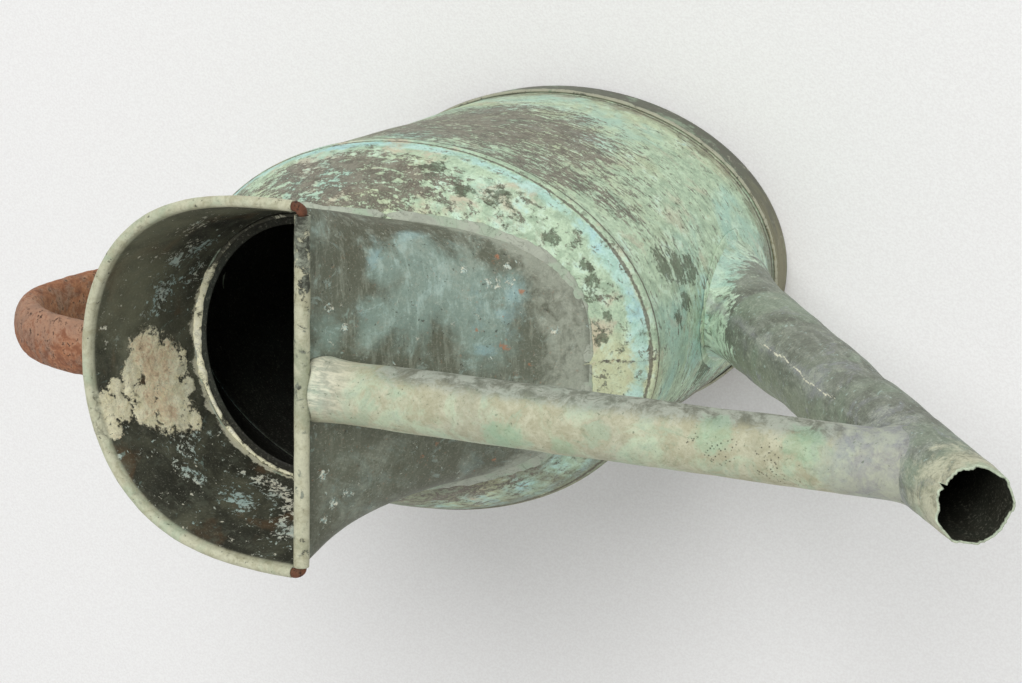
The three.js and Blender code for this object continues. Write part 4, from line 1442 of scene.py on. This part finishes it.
@dataclass
class BreastPanel(Piece):
    """Convex panel in front of the mouth, rolled into the straight bar at its top."""

    columns: int = 300
    wall_rows: int = 90
    bead_rows: int = 24
    notch: float = 0.0040
    marks: ClassVar[Marks] = {
        "haze": (
            (41, 58, 301, 14), (50, 44, 297, 20), (60, 34, 290, 16), (72, 19, 282, 16),
            (41, 34, 312, 16), (30, 30, 326, 12), (16, 29, 350, 9), (62, 44, 284, 12),
            (30, 56, 318, 10), (76, 40, 270, 9),
        ),
        "dots": (
            (57.4, 50.9, 284.8, 2.6), (73.2, 50.5, 266.2, 2.4), (72.4, 43.4, 272.5, 3.4),
            (76, 43, 268, 2.6), (68, 44, 276, 2.4), (97.8, 18.5, 257.1, 2.6), (72.3, 6.5, 282.6, 1.2),
            (77, 53, 262, 1.8), (22, 30, 344, 3.0), (25, 58, 322, 2.0), (20, 57, 330, 1.8),
            (18, -62, 345, 4.0), (22, -58, 338, 3.4), (16, -70, 348, 4.0), (24, -66, 334, 2.8),
            (30, -60, 328, 2.4), (16, 40, 350, 2.6), (18, 26, 352, 3.0), (14, -45, 352, 3.0),
            (17, -80, 346, 2.6),
        ),
        "rust": (
            (68.1, 55.3, 267.4, 1.5), (81.6, 38.3, 265.5, 1.9), (66.6, 21.3, 286.6, 1.5),
            (51.4, -37, 299.3, 1.4), (45.4, -43.9, 304.2, 1.2), (70.1, -51.6, 268.9, 1.4),
            (20, 66, 338, 1.8), (88, 2, 268, 0.9), (78, 12, 277, 2.6),
        ),
    }

    def grid(self) -> tuple[Array, Array, Array]:
        """The rolled sheet, with each row's share of the wall and angle of the bead."""
        form = self.form
        roll = Rolled(form.bar_bead)
        wall, turn = roll.rows(self.wall_rows, self.bead_rows)
        pull = 2 * self.notch / form.bar_length * np.where(turn > 0, 1.0, smooth(wall, 0.95, 1.0))
        side, wall = np.meshgrid(to_middle(self.columns, 1.25), wall)
        turn = np.broadcast_to(turn[:, None], side.shape)
        side = side * (1 - pull[:, None])
        wire = np.stack([np.full_like(side, form.bar_forward), side * form.bar_length / 2,
                         np.full_like(side, form.bar_height)], -1)
        tangent = np.broadcast_to(Y_AXIS, wire.shape)
        hollow = form.breast_hollow * (1 - side**2)
        return roll.surface(form.breast_seam(side), wire, tangent, wall, turn, hollow), wall, turn

    def build(self, finish: PanelTarnish) -> None:
        """Builds the panel with its slight waves, and paints the haze (partly a painted sheen), dots,
        solder and bar.
        """
        grid, wall, turn = self.grid()
        normal = grid_normals(grid, False)
        soft = between(wall, (0.02, 0.2), (0.9, 1.0))
        move = soft * (0.0008 * fractal(grid, 0.06, 3, 71) + 0.00012 * fractal(grid, 0.01, 2, 72))
        move += np.where(turn > 0, 0.00028 * fractal(grid, 0.012, 3, 73), 0.0)
        grid = grid + normal * move[..., None]
        surface = shell(grid + normal * self.form.sheet, grid, False)
        points = surface.points
        x, y, _ = points.T
        along = both_sides(wall)
        paint = surface.paint
        paint["bead"] = both_sides((smooth(wall, 0.985, 1.0) + (turn > 0)).clip(0, 1))
        paint["chipped"] = 0.16 + 0.5 * smooth(y, 0.030, 0.070)
        # Haze on the +Y side: bluish bloom, partly a painted sheen.
        paint["haze"] = spots(points, self.marks["haze"])
        paint["shade"] = smooth(-y, -0.01, 0.03) * (1 - smooth(x, 0.05, 0.10))
        paint["dots"] = 0.55 * spots(points, self.marks["dots"])
        paint["rust"] = 0.62 * spots(points, self.marks["rust"])
        paint["solder"] = 0.85 * bell(along, 0.05 + 0.12 * smooth(x, 0.06, 0.10))
        self.place(surface, "breast_panel_sheet", "dark_copper", finish.build(), "breast_panel")


@dataclass
class RimWire(Piece):
    """Iron wire in the rim and the bar, swollen by rust where it is bare at the corners."""

    sides: int = 20
    corner: float = 0.004
    swelling: float = 0.0010

    def path(self) -> Array:
        """Half the bar, a quarter round, the rim, a quarter round and the other half of the bar."""
        form = self.form
        start = form.rim_share(self.corner)
        rim = form.rim(blend(start, 1 - start, to_ends(260, 1.4)))
        half = form.bar_length / 2
        turn = np.linspace(0.0, np.pi / 2, 9)[:-1]
        bar_y = np.linspace(0.0002, half - self.corner, 30)[:-1]
        bend_x = form.bar_forward - self.corner * (1 - np.cos(turn))
        bend_y = half - self.corner + self.corner * np.sin(turn)
        bar, bend = (
            np.stack(np.broadcast_arrays(x, y, form.bar_height), 1)
            for x, y in ((form.bar_forward, bar_y), (bend_x, bend_y))
        )
        mirror = np.array([1.0, -1.0, 1.0])
        return np.concatenate([bar, bend, rim, bend[::-1] * mirror, bar[::-1] * mirror])

    def build(self, finish: Material) -> None:
        """Round sections along the path, thicker near the two corners, with a rough face."""
        path = self.path()
        form = self.form
        half = form.bar_length / 2
        corners = np.array([[form.bar_forward - 0.001, y, form.bar_height] for y in (-half, half)])
        away = np.min(np.linalg.norm(path[:, None] - corners[None], axis=-1), axis=1)
        radius = self.form.wire + self.swelling * (1 - smooth(away, 0.0030, 0.0050))
        grid = tube_grid(path, Z_AXIS, radius, radius, self.sides)
        centre = path[:, None]
        rough = 1.0 + 0.12 * fractal(grid, 0.0022, 3, 81) * (away < 0.01)[:, None]
        surface = capped_tube(centre + (grid - centre) * rough[..., None])
        paint = surface.paint
        paint["grey"] = np.full(len(surface.points), -0.6)
        self.place(surface, "rim_wire_rod", "rust", finish, "rim_wire")


@dataclass
class Spout(Piece):
    """Tapered spout from the body's front, dented, with a torn tip."""

    columns: int = 180
    rows: int = 236
    root_height: float = 0.082
    root_inset: float = 0.011
    reach: float = 0.351
    tip_height: float = 0.383
    root_radius: float = 0.0255
    tip_radius: float = 0.0184
    flare: float = 0.0055
    flare_length: float = 0.060
    fillet: float = 0.0045
    seam_angle: float = 1.07
    lap_rise: float = 0.0006
    facets: int = 9
    dents: tuple[tuple[float, ...], ...] = (
        (262, 20, 254, 17, 1.7), (215, 22, 195, 14, 0.7), (300, 15, 312, 12, 0.8),
        (205, -20, 215, 20, 1.0), (330, -5, 345, 12, 0.7),
    )
    marks: ClassVar[Marks] = {
        "lead": (
            (288, 12, 318, 9), (297, 11, 330, 11), (306, 8, 342, 11), (312, 2, 350, 11),
            (312, -8, 352, 11), (306, -12, 346, 10), (322, 6, 356, 9), (232, 11, 257, 5),
            (238, 10, 264, 6), (190, 12, 202, 5),
        ),
    }

    @property
    def root(self) -> Array:
        """Where the axis starts, inside the body."""
        length, _ = self.form.wall_axes(np.array(self.root_height))
        return np.array([float(length) - self.root_inset, 0.0, self.root_height])

    @property
    def tip(self) -> Array:
        """Where the axis ends."""
        return np.array([self.reach, 0.0, self.tip_height])

    @property
    def axis(self) -> Array:
        """Direction of the axis."""
        return unit(self.tip - self.root)

    @property
    def length(self) -> float:
        """Length of the axis."""
        return float(np.linalg.norm(self.tip - self.root))

    @property
    def up(self) -> Array:
        """Direction across the axis that faces up and back."""
        return np.cross(self.axis, Y_AXIS)

    def radius(self, along: Array) -> Array:
        """Even taper, plus a flare that dies out with the square of the way left to its end."""
        left = np.clip(1 - along / self.flare_length, 0.0, 1.0)
        return blend(self.root_radius, self.tip_radius, along / self.length) + self.flare * left**2

    def point(self, along: Array, angle: Array, grow: Array | float = 0.0) -> Array:
        """Point at a way along the axis, an angle round it, and outside it by the radius."""
        radius = (self.radius(along) + grow)[..., None]
        round_axis = np.cos(angle)[..., None] * Y_AXIS + np.sin(angle)[..., None] * self.up
        return self.root + along[..., None] * self.axis + radius * round_axis

    def outside(self, points: Array) -> Array:
        """Positive outside the spout: distance from the axis less the radius there."""
        along = (points - self.root) @ self.axis
        away = np.linalg.norm(points - self.root - along[..., None] * self.axis, axis=-1)
        return away - self.radius(along)

    def root_edge(self, angle: Array) -> Array:
        """Way along the axis at which each line of the surface comes out of the wall."""
        def test(along: Array) -> Array:
            """Positive outside the wall."""
            return self.form.outside_wall(self.point(along, angle, self.fillet), self.form.clear)

        return halving(test, np.full_like(angle, -0.06), np.full_like(angle, 0.12))

    def torn_edge(self, angle: Array) -> Array:
        """How much is torn off the tip: a slow wave, teeth of two sizes and one deep crack."""
        ring = np.stack([np.cos(angle), np.sin(angle), np.zeros_like(angle)], -1)
        teeth = np.abs(fractal(ring, 0.34, 3, 91)) + 0.6 * np.abs(fractal(ring, 0.12, 2, 92))
        crack = bell(centred(angle - 1.0), 0.035)
        wave = 0.5 + 0.5 * np.sin(2 * angle + 0.6)
        return 0.0005 + 0.0014 * wave + 0.0042 * teeth + 0.0060 * crack

    def build(self, finish: SpoutTarnish) -> None:
        """Builds the double wall between the root's and the tip's edges, and paints it."""
        angle = round_angles(self.columns)
        low = self.root_edge(angle)
        high = self.length - self.torn_edge(angle)
        v = ladder((0.0, 0.08, 30), (0.085, 0.94, self.rows - 60), (0.943, 1.0, 30))
        along = blend(low[None], high[None], v[:, None])
        turn = np.broadcast_to(angle[None], along.shape)
        grow = self.fillet * np.exp(-(along - low[None]) / 0.006)
        plain = self.point(along, turn, grow)
        normal = np.cos(turn)[..., None] * Y_AXIS + np.sin(turn)[..., None] * self.up
        near_tip = smooth(along, self.length - 0.014, self.length)
        waves = 0.0005 * fractal(plain, 0.03, 3, 94) + 0.0002 * fractal(plain, 0.008, 2, 95)
        move = smooth(along - low, 0.0, 0.02) * waves
        half_facet = np.pi / self.facets
        facet = 1.0 / np.cos((turn + 0.2) % (2 * half_facet) - half_facet) - 1.03
        move += near_tip * (0.0012 * fractal(plain, 0.011, 2, 96) + self.tip_radius * facet - 0.0004)
        move += self.lap_rise * between(centred(turn - self.seam_angle), (-0.02, 0.02), (0.05, 0.35))
        for x, y, z, wide, deep in self.dents:
            away = np.linalg.norm(plain * 1000 - np.array([x, y, z]), axis=-1)
            move -= deep / 1000 * bell(away, wide)
        outer = plain + normal * move[..., None]
        surface = shell(outer, outer - normal * (self.form.sheet * 1.15), True)
        self.paint(surface, both_sides(along - low), both_sides(high - along), both_sides(turn))
        self.place(surface, "spout_tube", "dark_copper", finish.build(), "spout")

    def paint(self, surface: Surface, from_root: Array, from_tip: Array, turn: Array) -> None:
        """Paints the places that differ.

        Args:
            surface: The spout's mesh.
            from_root: Way from the root's edge.
            from_tip: Way to the torn edge.
            turn: Angle round the axis.
        """
        wander = 0.03 * np.sin(from_root * 90.0) + 0.02 * np.sin(from_root * 260.0)
        seam = centred(turn - self.seam_angle - wander)
        mask = surface.paint
        mask["root"] = 1 - smooth(from_root, -0.01, 0.065)
        mask["under"] = 1 - smooth(np.cos(turn - 0.25), -0.3, 0.55)
        run = between(from_root, (0.05, 0.07), (0.185, 0.2))
        broken = smooth(fractal(surface.points, 0.02, 2, 98), -0.45, 0.0)
        mask["scratch"] = 0.8 * bell(seam * 0.022, 0.00045) * run * broken
        mask["tip"] = 0.9 * (1 - smooth(from_tip, 0.0, 0.055))
        lead = spots(surface.points, self.marks["lead"])
        beside = 0.7 * bell(seam * 0.022, 0.0035) * smooth(0.20 - from_root, 0.0, 0.04)
        mask["lead"] = np.maximum(lead, beside)
        # Painted highlight: the last millimetre or so by the torn edge, on both faces, marked for a pale
        # band.
        mask["lip_highlight"] = (1 - smooth(from_tip, 0.0004, 0.0014)) * 1.0


@dataclass
class BraceTube(Piece):
    """Tube from the bar to the spout, squeezed flatter where it starts."""

    spout: Spout
    columns: int = 128
    rows: int = 230
    radius: float = 0.0159
    drop: float = 0.012
    tip_distance: float = 0.054
    flattening: float = 0.8
    flat_length: float = 0.060
    fillet: float = 0.0030
    start_fillet: float = 0.00105
    dent_place: tuple[float, float, float] = (0.034, 0.012, 0.362)
    dent_depth: float = 0.0022
    dent_width: float = 0.014
    marks: ClassVar[Marks] = {
        "pitted": (
            (228, 2, 360, 9), (240, -3, 359, 10), (250, -5, 358, 8), (212, 6, 360, 6),
            (262, -9, 356, 6),
        ),
        "green": (
            (116, -9, 362, 9), (220, 8, 359, 9), (146, -10, 360, 6), (262, 8, 355, 8),
        ),
    }

    @property
    def start(self) -> Array:
        """Start of the axis, behind the panel."""
        form = self.form
        x = form.bar_forward - form.bar_bead + form.sheet
        return np.array([x, 0.0, form.bar_height - self.drop])

    @property
    def end(self) -> Array:
        """End of the axis, on the spout's own."""
        return self.spout.tip - self.spout.axis * self.tip_distance

    def point(self, along: Array, angle: Array, grow: Array | float = 0.0) -> Array:
        """Point at a way along the axis: an oval section that grows round with the way."""
        axis = unit(self.end - self.start)
        up = np.cross(axis, Y_AXIS)
        round_share = np.clip(along / self.flat_length, 0.0, 1.0)
        high = self.radius * blend(self.flattening, 1.0, round_share) + grow
        wide = ((self.radius + grow) * np.cos(angle))[..., None] * Y_AXIS
        return self.start + along[..., None] * axis + wide + (high * np.sin(angle))[..., None] * up

    def before_panel(self, points: Array) -> Array:
        """Positive in front of the panel's middle line and outside the bar's bead."""
        form = self.form
        seam = form.breast_seam(np.array(0.0))
        wire = np.array([form.bar_forward, 0.0, form.bar_height])
        up = unit(wire - seam)
        out = unit(np.cross(Y_AXIS, up))
        top = wire - out * form.bar_bead
        share = np.clip((points[..., 2] - seam[2]) / (top[2] - seam[2]), 0.0, 1.0)
        hollow = 4 * form.breast_hollow * share * (1 - share)
        line = blend(seam, top, share[..., None]) - out * hollow[..., None]
        panel = (points - line) @ out - form.sheet
        bead = np.hypot(points[..., 0] - wire[0], points[..., 2] - wire[2]) - form.bar_bead
        return np.minimum(panel, bead)

    def edges(self, angle: Array) -> tuple[Array, Array]:
        """Ways along the axis at which each line leaves the panel and meets the spout."""
        length = float(np.linalg.norm(self.end - self.start))
        first = halving(lambda at: self.before_panel(self.point(at, angle, self.start_fillet)) - 0.0001,
                        np.full_like(angle, -0.004), np.full_like(angle, 0.06))
        last = halving(lambda at: -self.spout.outside(self.point(at, angle, self.fillet)),
                       np.full_like(angle, length * 0.6), np.full_like(angle, length))
        return np.maximum(first, self.form.bar_bead), last

    def build(self, finish: BraceCoat) -> None:
        """Builds the closed tube between its edges, slightly uneven, and paints it."""
        angle = round_angles(self.columns)
        first, last = self.edges(angle)
        v = ladder((0.0, 0.06, 20), (0.066, 0.95, self.rows - 36), (0.955, 1.0, 16))
        along = blend(first[None], last[None], v[:, None])
        turn = np.broadcast_to(angle[None], along.shape)
        grow = self.start_fillet * np.exp(-(along - first) / 0.0060)
        grow = grow + self.fillet * np.exp(-(last - along) / 0.0045)
        grid = self.point(along, turn, grow)
        normal = grid_normals(grid, True)
        side = np.sign(np.sum(normal[20, 0] * Y_AXIS))
        soft = smooth(along - first, 0.0, 0.012) * smooth(last - along, 0.0, 0.012)
        move = soft * (0.0009 * fractal(grid, 0.04, 3, 101) + 0.00015 * fractal(grid, 0.008, 2, 102))
        away = np.linalg.norm(grid - np.array(self.dent_place), axis=-1)
        move -= self.dent_depth * bell(away, self.dent_width)
        surface = capped_tube(grid + normal * (side * move)[..., None], 5)
        x, y, _ = surface.points.T
        axis = unit(self.end - self.start)
        up = np.cross(axis, Y_AXIS)
        lift = (surface.points - self.start) @ up
        facing = (y * 0.95 + lift * -0.15) / self.radius
        paint = surface.paint
        paint["top"] = smooth(facing, 0.15, 1.0) * smooth(x, 0.02, 0.07)
        paint["pitted"] = 0.85 * spots(surface.points, self.marks["pitted"])
        paint["green"] = spots(surface.points, self.marks["green"])
        paint["lead"] = smooth(x, 0.262, 0.292)
        paint["pale"] = (1 - smooth(x, 0.018, 0.045)) * smooth(y, -0.016, -0.002)
        self.place(surface, "brace_tube_coat", "pale_verdigris", finish.build(), "brace_tube")


@dataclass
class Handle(Piece):
    """Iron hoop behind the can: an oval tube bent into half an egg shape."""

    columns: int = 110
    rows: int = 300
    half_width: float = 0.0145
    half_thickness: float = 0.0087
    clearance: float = 0.001
    rise: float = 0.058
    drop: float = 0.112
    reach: float = 0.0665
    setback: float = 0.124
    overrun: float = 0.12 * math.pi

    def point(self, share: Array, angle: Array) -> Array:
        """Point at a share of the hoop and an angle round the tube.

        The middle line is an oval in the plane y = 0: back by the reach times the cosine, down by
        the rise or the drop times the sine. The section is an oval square to it.
        """
        form = self.form
        bend = (np.pi / 2 + self.overrun) * (2 * share - 1.0)
        bead = form.wire + form.gap + form.sheet
        top = form.bar_height - form.rim_drop - bead - self.clearance - self.half_thickness
        height = np.where(bend < 0, self.rise, self.drop)
        centre = np.stack([-self.setback - self.reach * np.cos(bend), np.zeros_like(bend),
                           top - self.rise - height * np.sin(bend)], -1)
        ahead = unit(np.stack([self.reach * np.sin(bend), np.zeros_like(bend),
                               -height * np.cos(bend)], -1))
        up = np.cross(ahead, Y_AXIS)
        wide = (self.half_width * np.cos(angle))[..., None] * Y_AXIS
        return centre + wide + (self.half_thickness * np.sin(angle))[..., None] * up

    def behind_hood(self, points: Array) -> Array:
        """Positive behind the hood: the line between neck and rim at that height, less x."""
        form = self.form
        x, y, z = np.moveaxis(points, -1, 0)
        neck = -form.setback - form.neck[0] / 2 * np.sqrt(1 - (2 * y / form.neck[1]) ** 2)
        sine = np.sqrt(1 - (2 * y / form.bar_length) ** 2)
        rim = form.bar_forward - form.rim_depth * sine ** (2.0 / form.rim_squareness)
        share = (z - form.neck_height) / (form.bar_height - form.rim_drop - form.neck_height)
        return blend(neck, rim, share) - form.sheet - x

    def edges(self, angle: Array) -> tuple[Array, Array]:
        """Shares at which each line leaves the hood and meets the wall."""
        first = halving(lambda at: self.behind_hood(self.point(at, angle)),
                        np.zeros_like(angle), np.full_like(angle, 0.35))
        last = halving(lambda at: -self.form.outside_wall(self.point(at, angle), self.form.clear),
                       np.full_like(angle, 0.6), np.ones_like(angle))
        return first, last

    def build(self, finish: Material) -> None:
        """Builds the closed hoop with a pitted, slightly swollen face, and paints it paler in places,
        with painted light on its upper side.
        """
        angle = round_angles(self.columns)
        first, last = self.edges(angle)
        share = blend(first[None], last[None], np.linspace(0.0, 1.0, self.rows)[:, None])
        turn = np.broadcast_to(angle[None], share.shape)
        grid = self.point(share, turn)
        normal = grid_normals(grid, True)
        out = np.sign(np.sum(normal[10, 0] * Y_AXIS))
        soft = smooth(share - first, 0.0, 0.02) * smooth(last - share, 0.0, 0.02)
        move = soft * (0.0006 * fractal(grid, 0.025, 3, 111) + 0.00035 * fractal(grid, 0.005, 3, 112))
        surface = capped_tube(grid + normal * (out * move)[..., None], 5)
        _, y, z = surface.points.T
        paint = surface.paint
        # Pale rust everywhere in part, and painted light on the upper side towards +Y.
        paint["grey"] = 0.35 + 0.5 * smooth(y, -0.004, 0.012) * smooth(z, 0.30, 0.33)
        self.place(surface, "handle_hoop", "rust", finish, "handle")


@dataclass
class SolderSeam(Piece):
    """Lumpy run of solder or lime along a joint.

    A flat oval section rides along the path: its wide axis lies across the path in the surface
    that carries it, its thin axis along that surface's normal. Noise swells and thins the run.
    """

    name: str
    path: Array
    normal: Array
    half_width: Array | float
    height: float
    lumps: float
    seed: int
    closed: bool = False
    sides: int = 14
    faint: Array | float = 0.0

    def build(self, finish: Material, slot: str) -> None:
        """Builds the run; an open one tapers to nothing at both ends."""
        if self.closed:
            ahead = unit(np.roll(self.path, -1, axis=0) - np.roll(self.path, 1, axis=0))
        else:
            ahead = unit(np.gradient(self.path, axis=0))
        normal = unit(self.normal)
        across = unit(np.cross(normal, ahead))
        slow = fractal(self.path, 0.011, 3, self.seed)
        quick = fractal(self.path, 0.003, 2, self.seed + 3)
        swell = 1.0 + self.lumps * (slow + 0.5 * quick)
        if not self.closed:
            t = np.linspace(0.0, 1.0, len(self.path))
            swell = swell * np.sqrt(np.clip(np.minimum(t, 1 - t) / 0.012, 0.05, 1.0))
        angle = round_angles(self.sides)
        wide = ((self.half_width * swell)[:, None] * np.cos(angle))[..., None] * across[:, None]
        lift = np.maximum(np.sin(angle), -0.35)
        high = (self.height * swell[:, None] * lift)[..., None] * normal[:, None]
        grid = self.path[:, None] + wide + high
        rough = 0.25 * self.height * fractal(grid, 0.004, 2, self.seed + 7)
        grid = grid + normal[:, None] * rough[..., None]
        if self.closed:
            quads, _ = grid_faces(len(self.path) + 1, self.sides, True)
            surface = Surface(grid.reshape(-1, 3), quads % (len(self.path) * self.sides))
        else:
            surface = capped_tube(grid)
        worn = np.repeat(np.broadcast_to(self.faint, len(self.path)), self.sides)
        paint = surface.paint
        paint["faint"] = np.concatenate([worn, worn[[0, -1]]])[: len(surface.points)]
        self.place(surface, self.name, slot, finish)


@dataclass
class Joints:
    """All the soldered joints of the can."""

    form: CanForm
    spout: Spout
    handle: Handle

    def on_panel(self, finish: Material) -> None:
        """Wide smooth band of solder along the breast panel's seam on the dome."""
        form = self.form
        seam = form.breast_seam(to_middle(420, 1.25) * 0.995)
        normal = form.dome_normal(seam[:, 0], seam[:, 1])
        out = unit(np.cross(unit(np.gradient(seam, axis=0)), normal))
        out *= np.sign(np.sum(out[210] * np.array([1.0, 0.0, 0.0])))
        path = seam + out * 0.0028 - normal * 0.0001
        run = SolderSeam(form, "solder_panel_seam", path, normal, 0.0036, 0.0008, 0.5, 201)
        run.build(finish, "dark_copper")

    def on_hood(self, lime: Material, finish: Material) -> None:
        """Lime along the inner side of the hood's seam, and solder along its outer side."""
        form = self.form
        seam = form.hood_seam(to_ends(420, 1.2))
        centre = np.array([-form.setback, 0.0, 0.0])
        inward = unit((centre - seam) * LEVEL)
        up = np.broadcast_to(Z_AXIS, seam.shape)
        thick = bell(seam[:, 1] - 0.010, 0.035) * (seam[:, 0] < -0.05)
        faint = 0.30 + 0.45 * smooth(seam[:, 1], 0.03, 0.06)
        run = SolderSeam(form, "lime_neck_seam", seam + inward * 0.0011 + up * 0.0004,
                         unit(up + inward * 0.6), 0.0009 + 0.0013 * thick, 0.0010, 0.9, 211, faint=faint)
        run.build(lime, "pale_verdigris")
        normal = form.dome_normal(seam[:, 0], seam[:, 1])
        path = seam - inward * 0.0026 + normal * 0.0003
        run = SolderSeam(form, "solder_hood_seam", path, normal, 0.0028, 0.0012, 0.35, 221)
        run.build(finish, "pale_verdigris")

    def on_spout(self, root: Material) -> None:
        """Smooth solder round the spout's root."""
        angle = round_angles(260)
        ring = self.spout.point(self.spout.root_edge(angle), angle, self.spout.fillet)
        length, width = self.form.wall_axes(ring[:, 2])
        normal = unit(np.stack([ring[:, 0] / length**2, ring[:, 1] / width**2, np.zeros(260)], 1))
        run = SolderSeam(self.form, "solder_spout_root", ring, normal, 0.0040, 0.0005, 0.4, 231, True)
        run.build(root, "verdigris")

    def on_handle(self, finish: Material) -> None:
        """Solder round both ends of the handle."""
        angle = round_angles(160)
        for name, edge, ahead in zip(("top", "bottom"), self.handle.edges(angle), (0.01, -0.01)):
            ring = self.handle.point(edge, angle)
            away = unit(self.handle.point(edge + ahead, angle) - ring)
            round_axis = unit(ring - ring.mean(axis=0))
            path = ring + (away + round_axis) * 0.0011
            run = SolderSeam(self.form, f"solder_handle_{name}", path, unit(away + round_axis), 0.0020,
                             0.0012, 0.5, 261, True)
            run.build(finish, "rust")


# The studio


@dataclass(frozen=True)
class Studio:
    """Pale floor, soft light and the camera at the photograph's viewing angle."""

    lens: float = 94.445
    eye: tuple[float, float, float] = (0.6140, 0.3611, 1.4730)
    right: tuple[float, float, float] = (0.9109, 0.0221, -0.4121)
    down: tuple[float, float, float] = (0.1248, -0.9665, 0.2241)
    key_place: tuple[float, float, float] = (0.50, 3.20, 5.50)
    key_size: float = 3.6
    key_power: float = 205.0
    key_aim: tuple[float, float, float] = (0.08, 0.0, 0.2)
    world_level: float = 0.64
    floor_half: float = 4.0
    floor_drop: float = 0.0004

    def camera(self) -> None:
        """A camera whose axes are the three fitted directions."""
        data = bpy.data.cameras.new("camera")
        data.lens = self.lens
        data.sensor_width = 36.0
        data.clip_start = 0.05
        data.clip_end = 30.0
        camera = linked("camera", data)
        right = unit(np.array(self.right))
        down = unit(np.array(self.down) - right * float(np.dot(self.down, right)))
        ahead = np.cross(right, down)
        columns = np.stack([right, -down, -ahead], axis=1)
        turn = Matrix(columns.tolist()).to_4x4()
        camera.matrix_world = Matrix.Translation(self.eye) @ turn
        bpy.context.scene.camera = camera

    def light(self) -> None:
        """One wide round lamp, turned towards the can."""
        data = bpy.data.lights.new("key", "AREA")
        data.shape = "DISK"
        data.size = self.key_size
        data.energy = self.key_power
        lamp = linked("key", data)
        back = unit(np.array(self.key_place) - np.array(self.key_aim))
        side = unit(np.cross(Z_AXIS, back))
        columns = np.stack([side, np.cross(back, side), back], axis=1)
        lamp.matrix_world = Matrix.Translation(self.key_place) @ Matrix(columns.tolist()).to_4x4()

    def world(self) -> None:
        """White to the camera, in glossy metal and through glass, and softer as light."""
        world = bpy.data.worlds.new("studio")
        bpy.context.scene.world = world
        world.use_nodes = True
        tree = world.node_tree
        tree.nodes.clear()
        path, more, seen, level, background, output = (
            tree.nodes.new(f"ShaderNode{kind}")
            for kind in ("LightPath", "Math", "Math", "MapRange", "Background", "OutputWorld")
        )
        more.operation = seen.operation = "ADD"
        seen.use_clamp = True
        level.inputs["To Min"].default_value = self.world_level
        level.inputs["To Max"].default_value = 1.0
        background.inputs["Color"].default_value = (1.0, 1.0, 1.0, 1.0)
        for start, end in (
            (path.outputs["Is Glossy Ray"], more.inputs[0]),
            (path.outputs["Is Transmission Ray"], more.inputs[1]),
            (path.outputs["Is Camera Ray"], seen.inputs[0]),
            (more.outputs[0], seen.inputs[1]),
            (seen.outputs[0], level.inputs["Value"]),
            (level.outputs["Result"], background.inputs["Strength"]),
            (background.outputs["Background"], output.inputs["Surface"]),
        ):
            tree.links.new(start, end)

    def floor(self) -> None:
        """A flat square that the can stands on."""
        half, low = self.floor_half, -self.floor_drop
        corners = [(-half, -half, low), (half, -half, low), (half, half, low), (-half, half, low)]
        mesh = bpy.data.meshes.new("floor")
        mesh.from_pydata(corners, [], [[0, 1, 2, 3]])
        mesh.materials.append(PaleFloor().build())
        linked("floor", mesh)

    def build(self) -> None:
        """Sets up the view and builds the studio."""
        bpy.context.scene.view_settings.view_transform = "Standard"
        self.camera()
        self.light()
        self.world()
        self.floor()


def main() -> None:
    """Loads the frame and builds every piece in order."""
    logging.basicConfig(level=logging.INFO, format="%(name)s %(message)s")
    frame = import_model()
    Studio().build()
    form = CanForm()
    foot = FootTarnish().build()
    rust = Rust("handle_rust").build()
    verdigris = Verdigris("wall_verdigris", (130.0, 130.0, 400.0), 0.55).build()
    BodyWall(form).build(verdigris)
    FootBand(form).build(foot)
    bottom = frame["nodes"]["bottom_plate"]
    bottom.data.materials.clear()
    bottom.data.materials.append(foot)
    ShoulderDome(form).build(Verdigris("dome_verdigris", (110.0, 160.0, 260.0), 1.0))
    Hood(form).build(HoodCoat())
    BreastPanel(form).build(PanelTarnish())
    RimWire(form).build(Rust("wire_rust", 0.7).build())
    spout = Spout(form)
    spout.build(SpoutTarnish())
    BraceTube(form, spout).build(BraceCoat())
    handle = Handle(form)
    handle.build(rust)
    joints = Joints(form, spout, handle)
    solder = SolderCoat("old_solder").build()
    joints.on_panel(solder)
    joints.on_hood(SolderCoat("lime", Patina.CRUST, Patina.BONE, Patina.STRAW, 0.4).build(), solder)
    joints.on_spout(verdigris)
    joints.on_handle(solder)


if __name__ == "__main__":
    main()
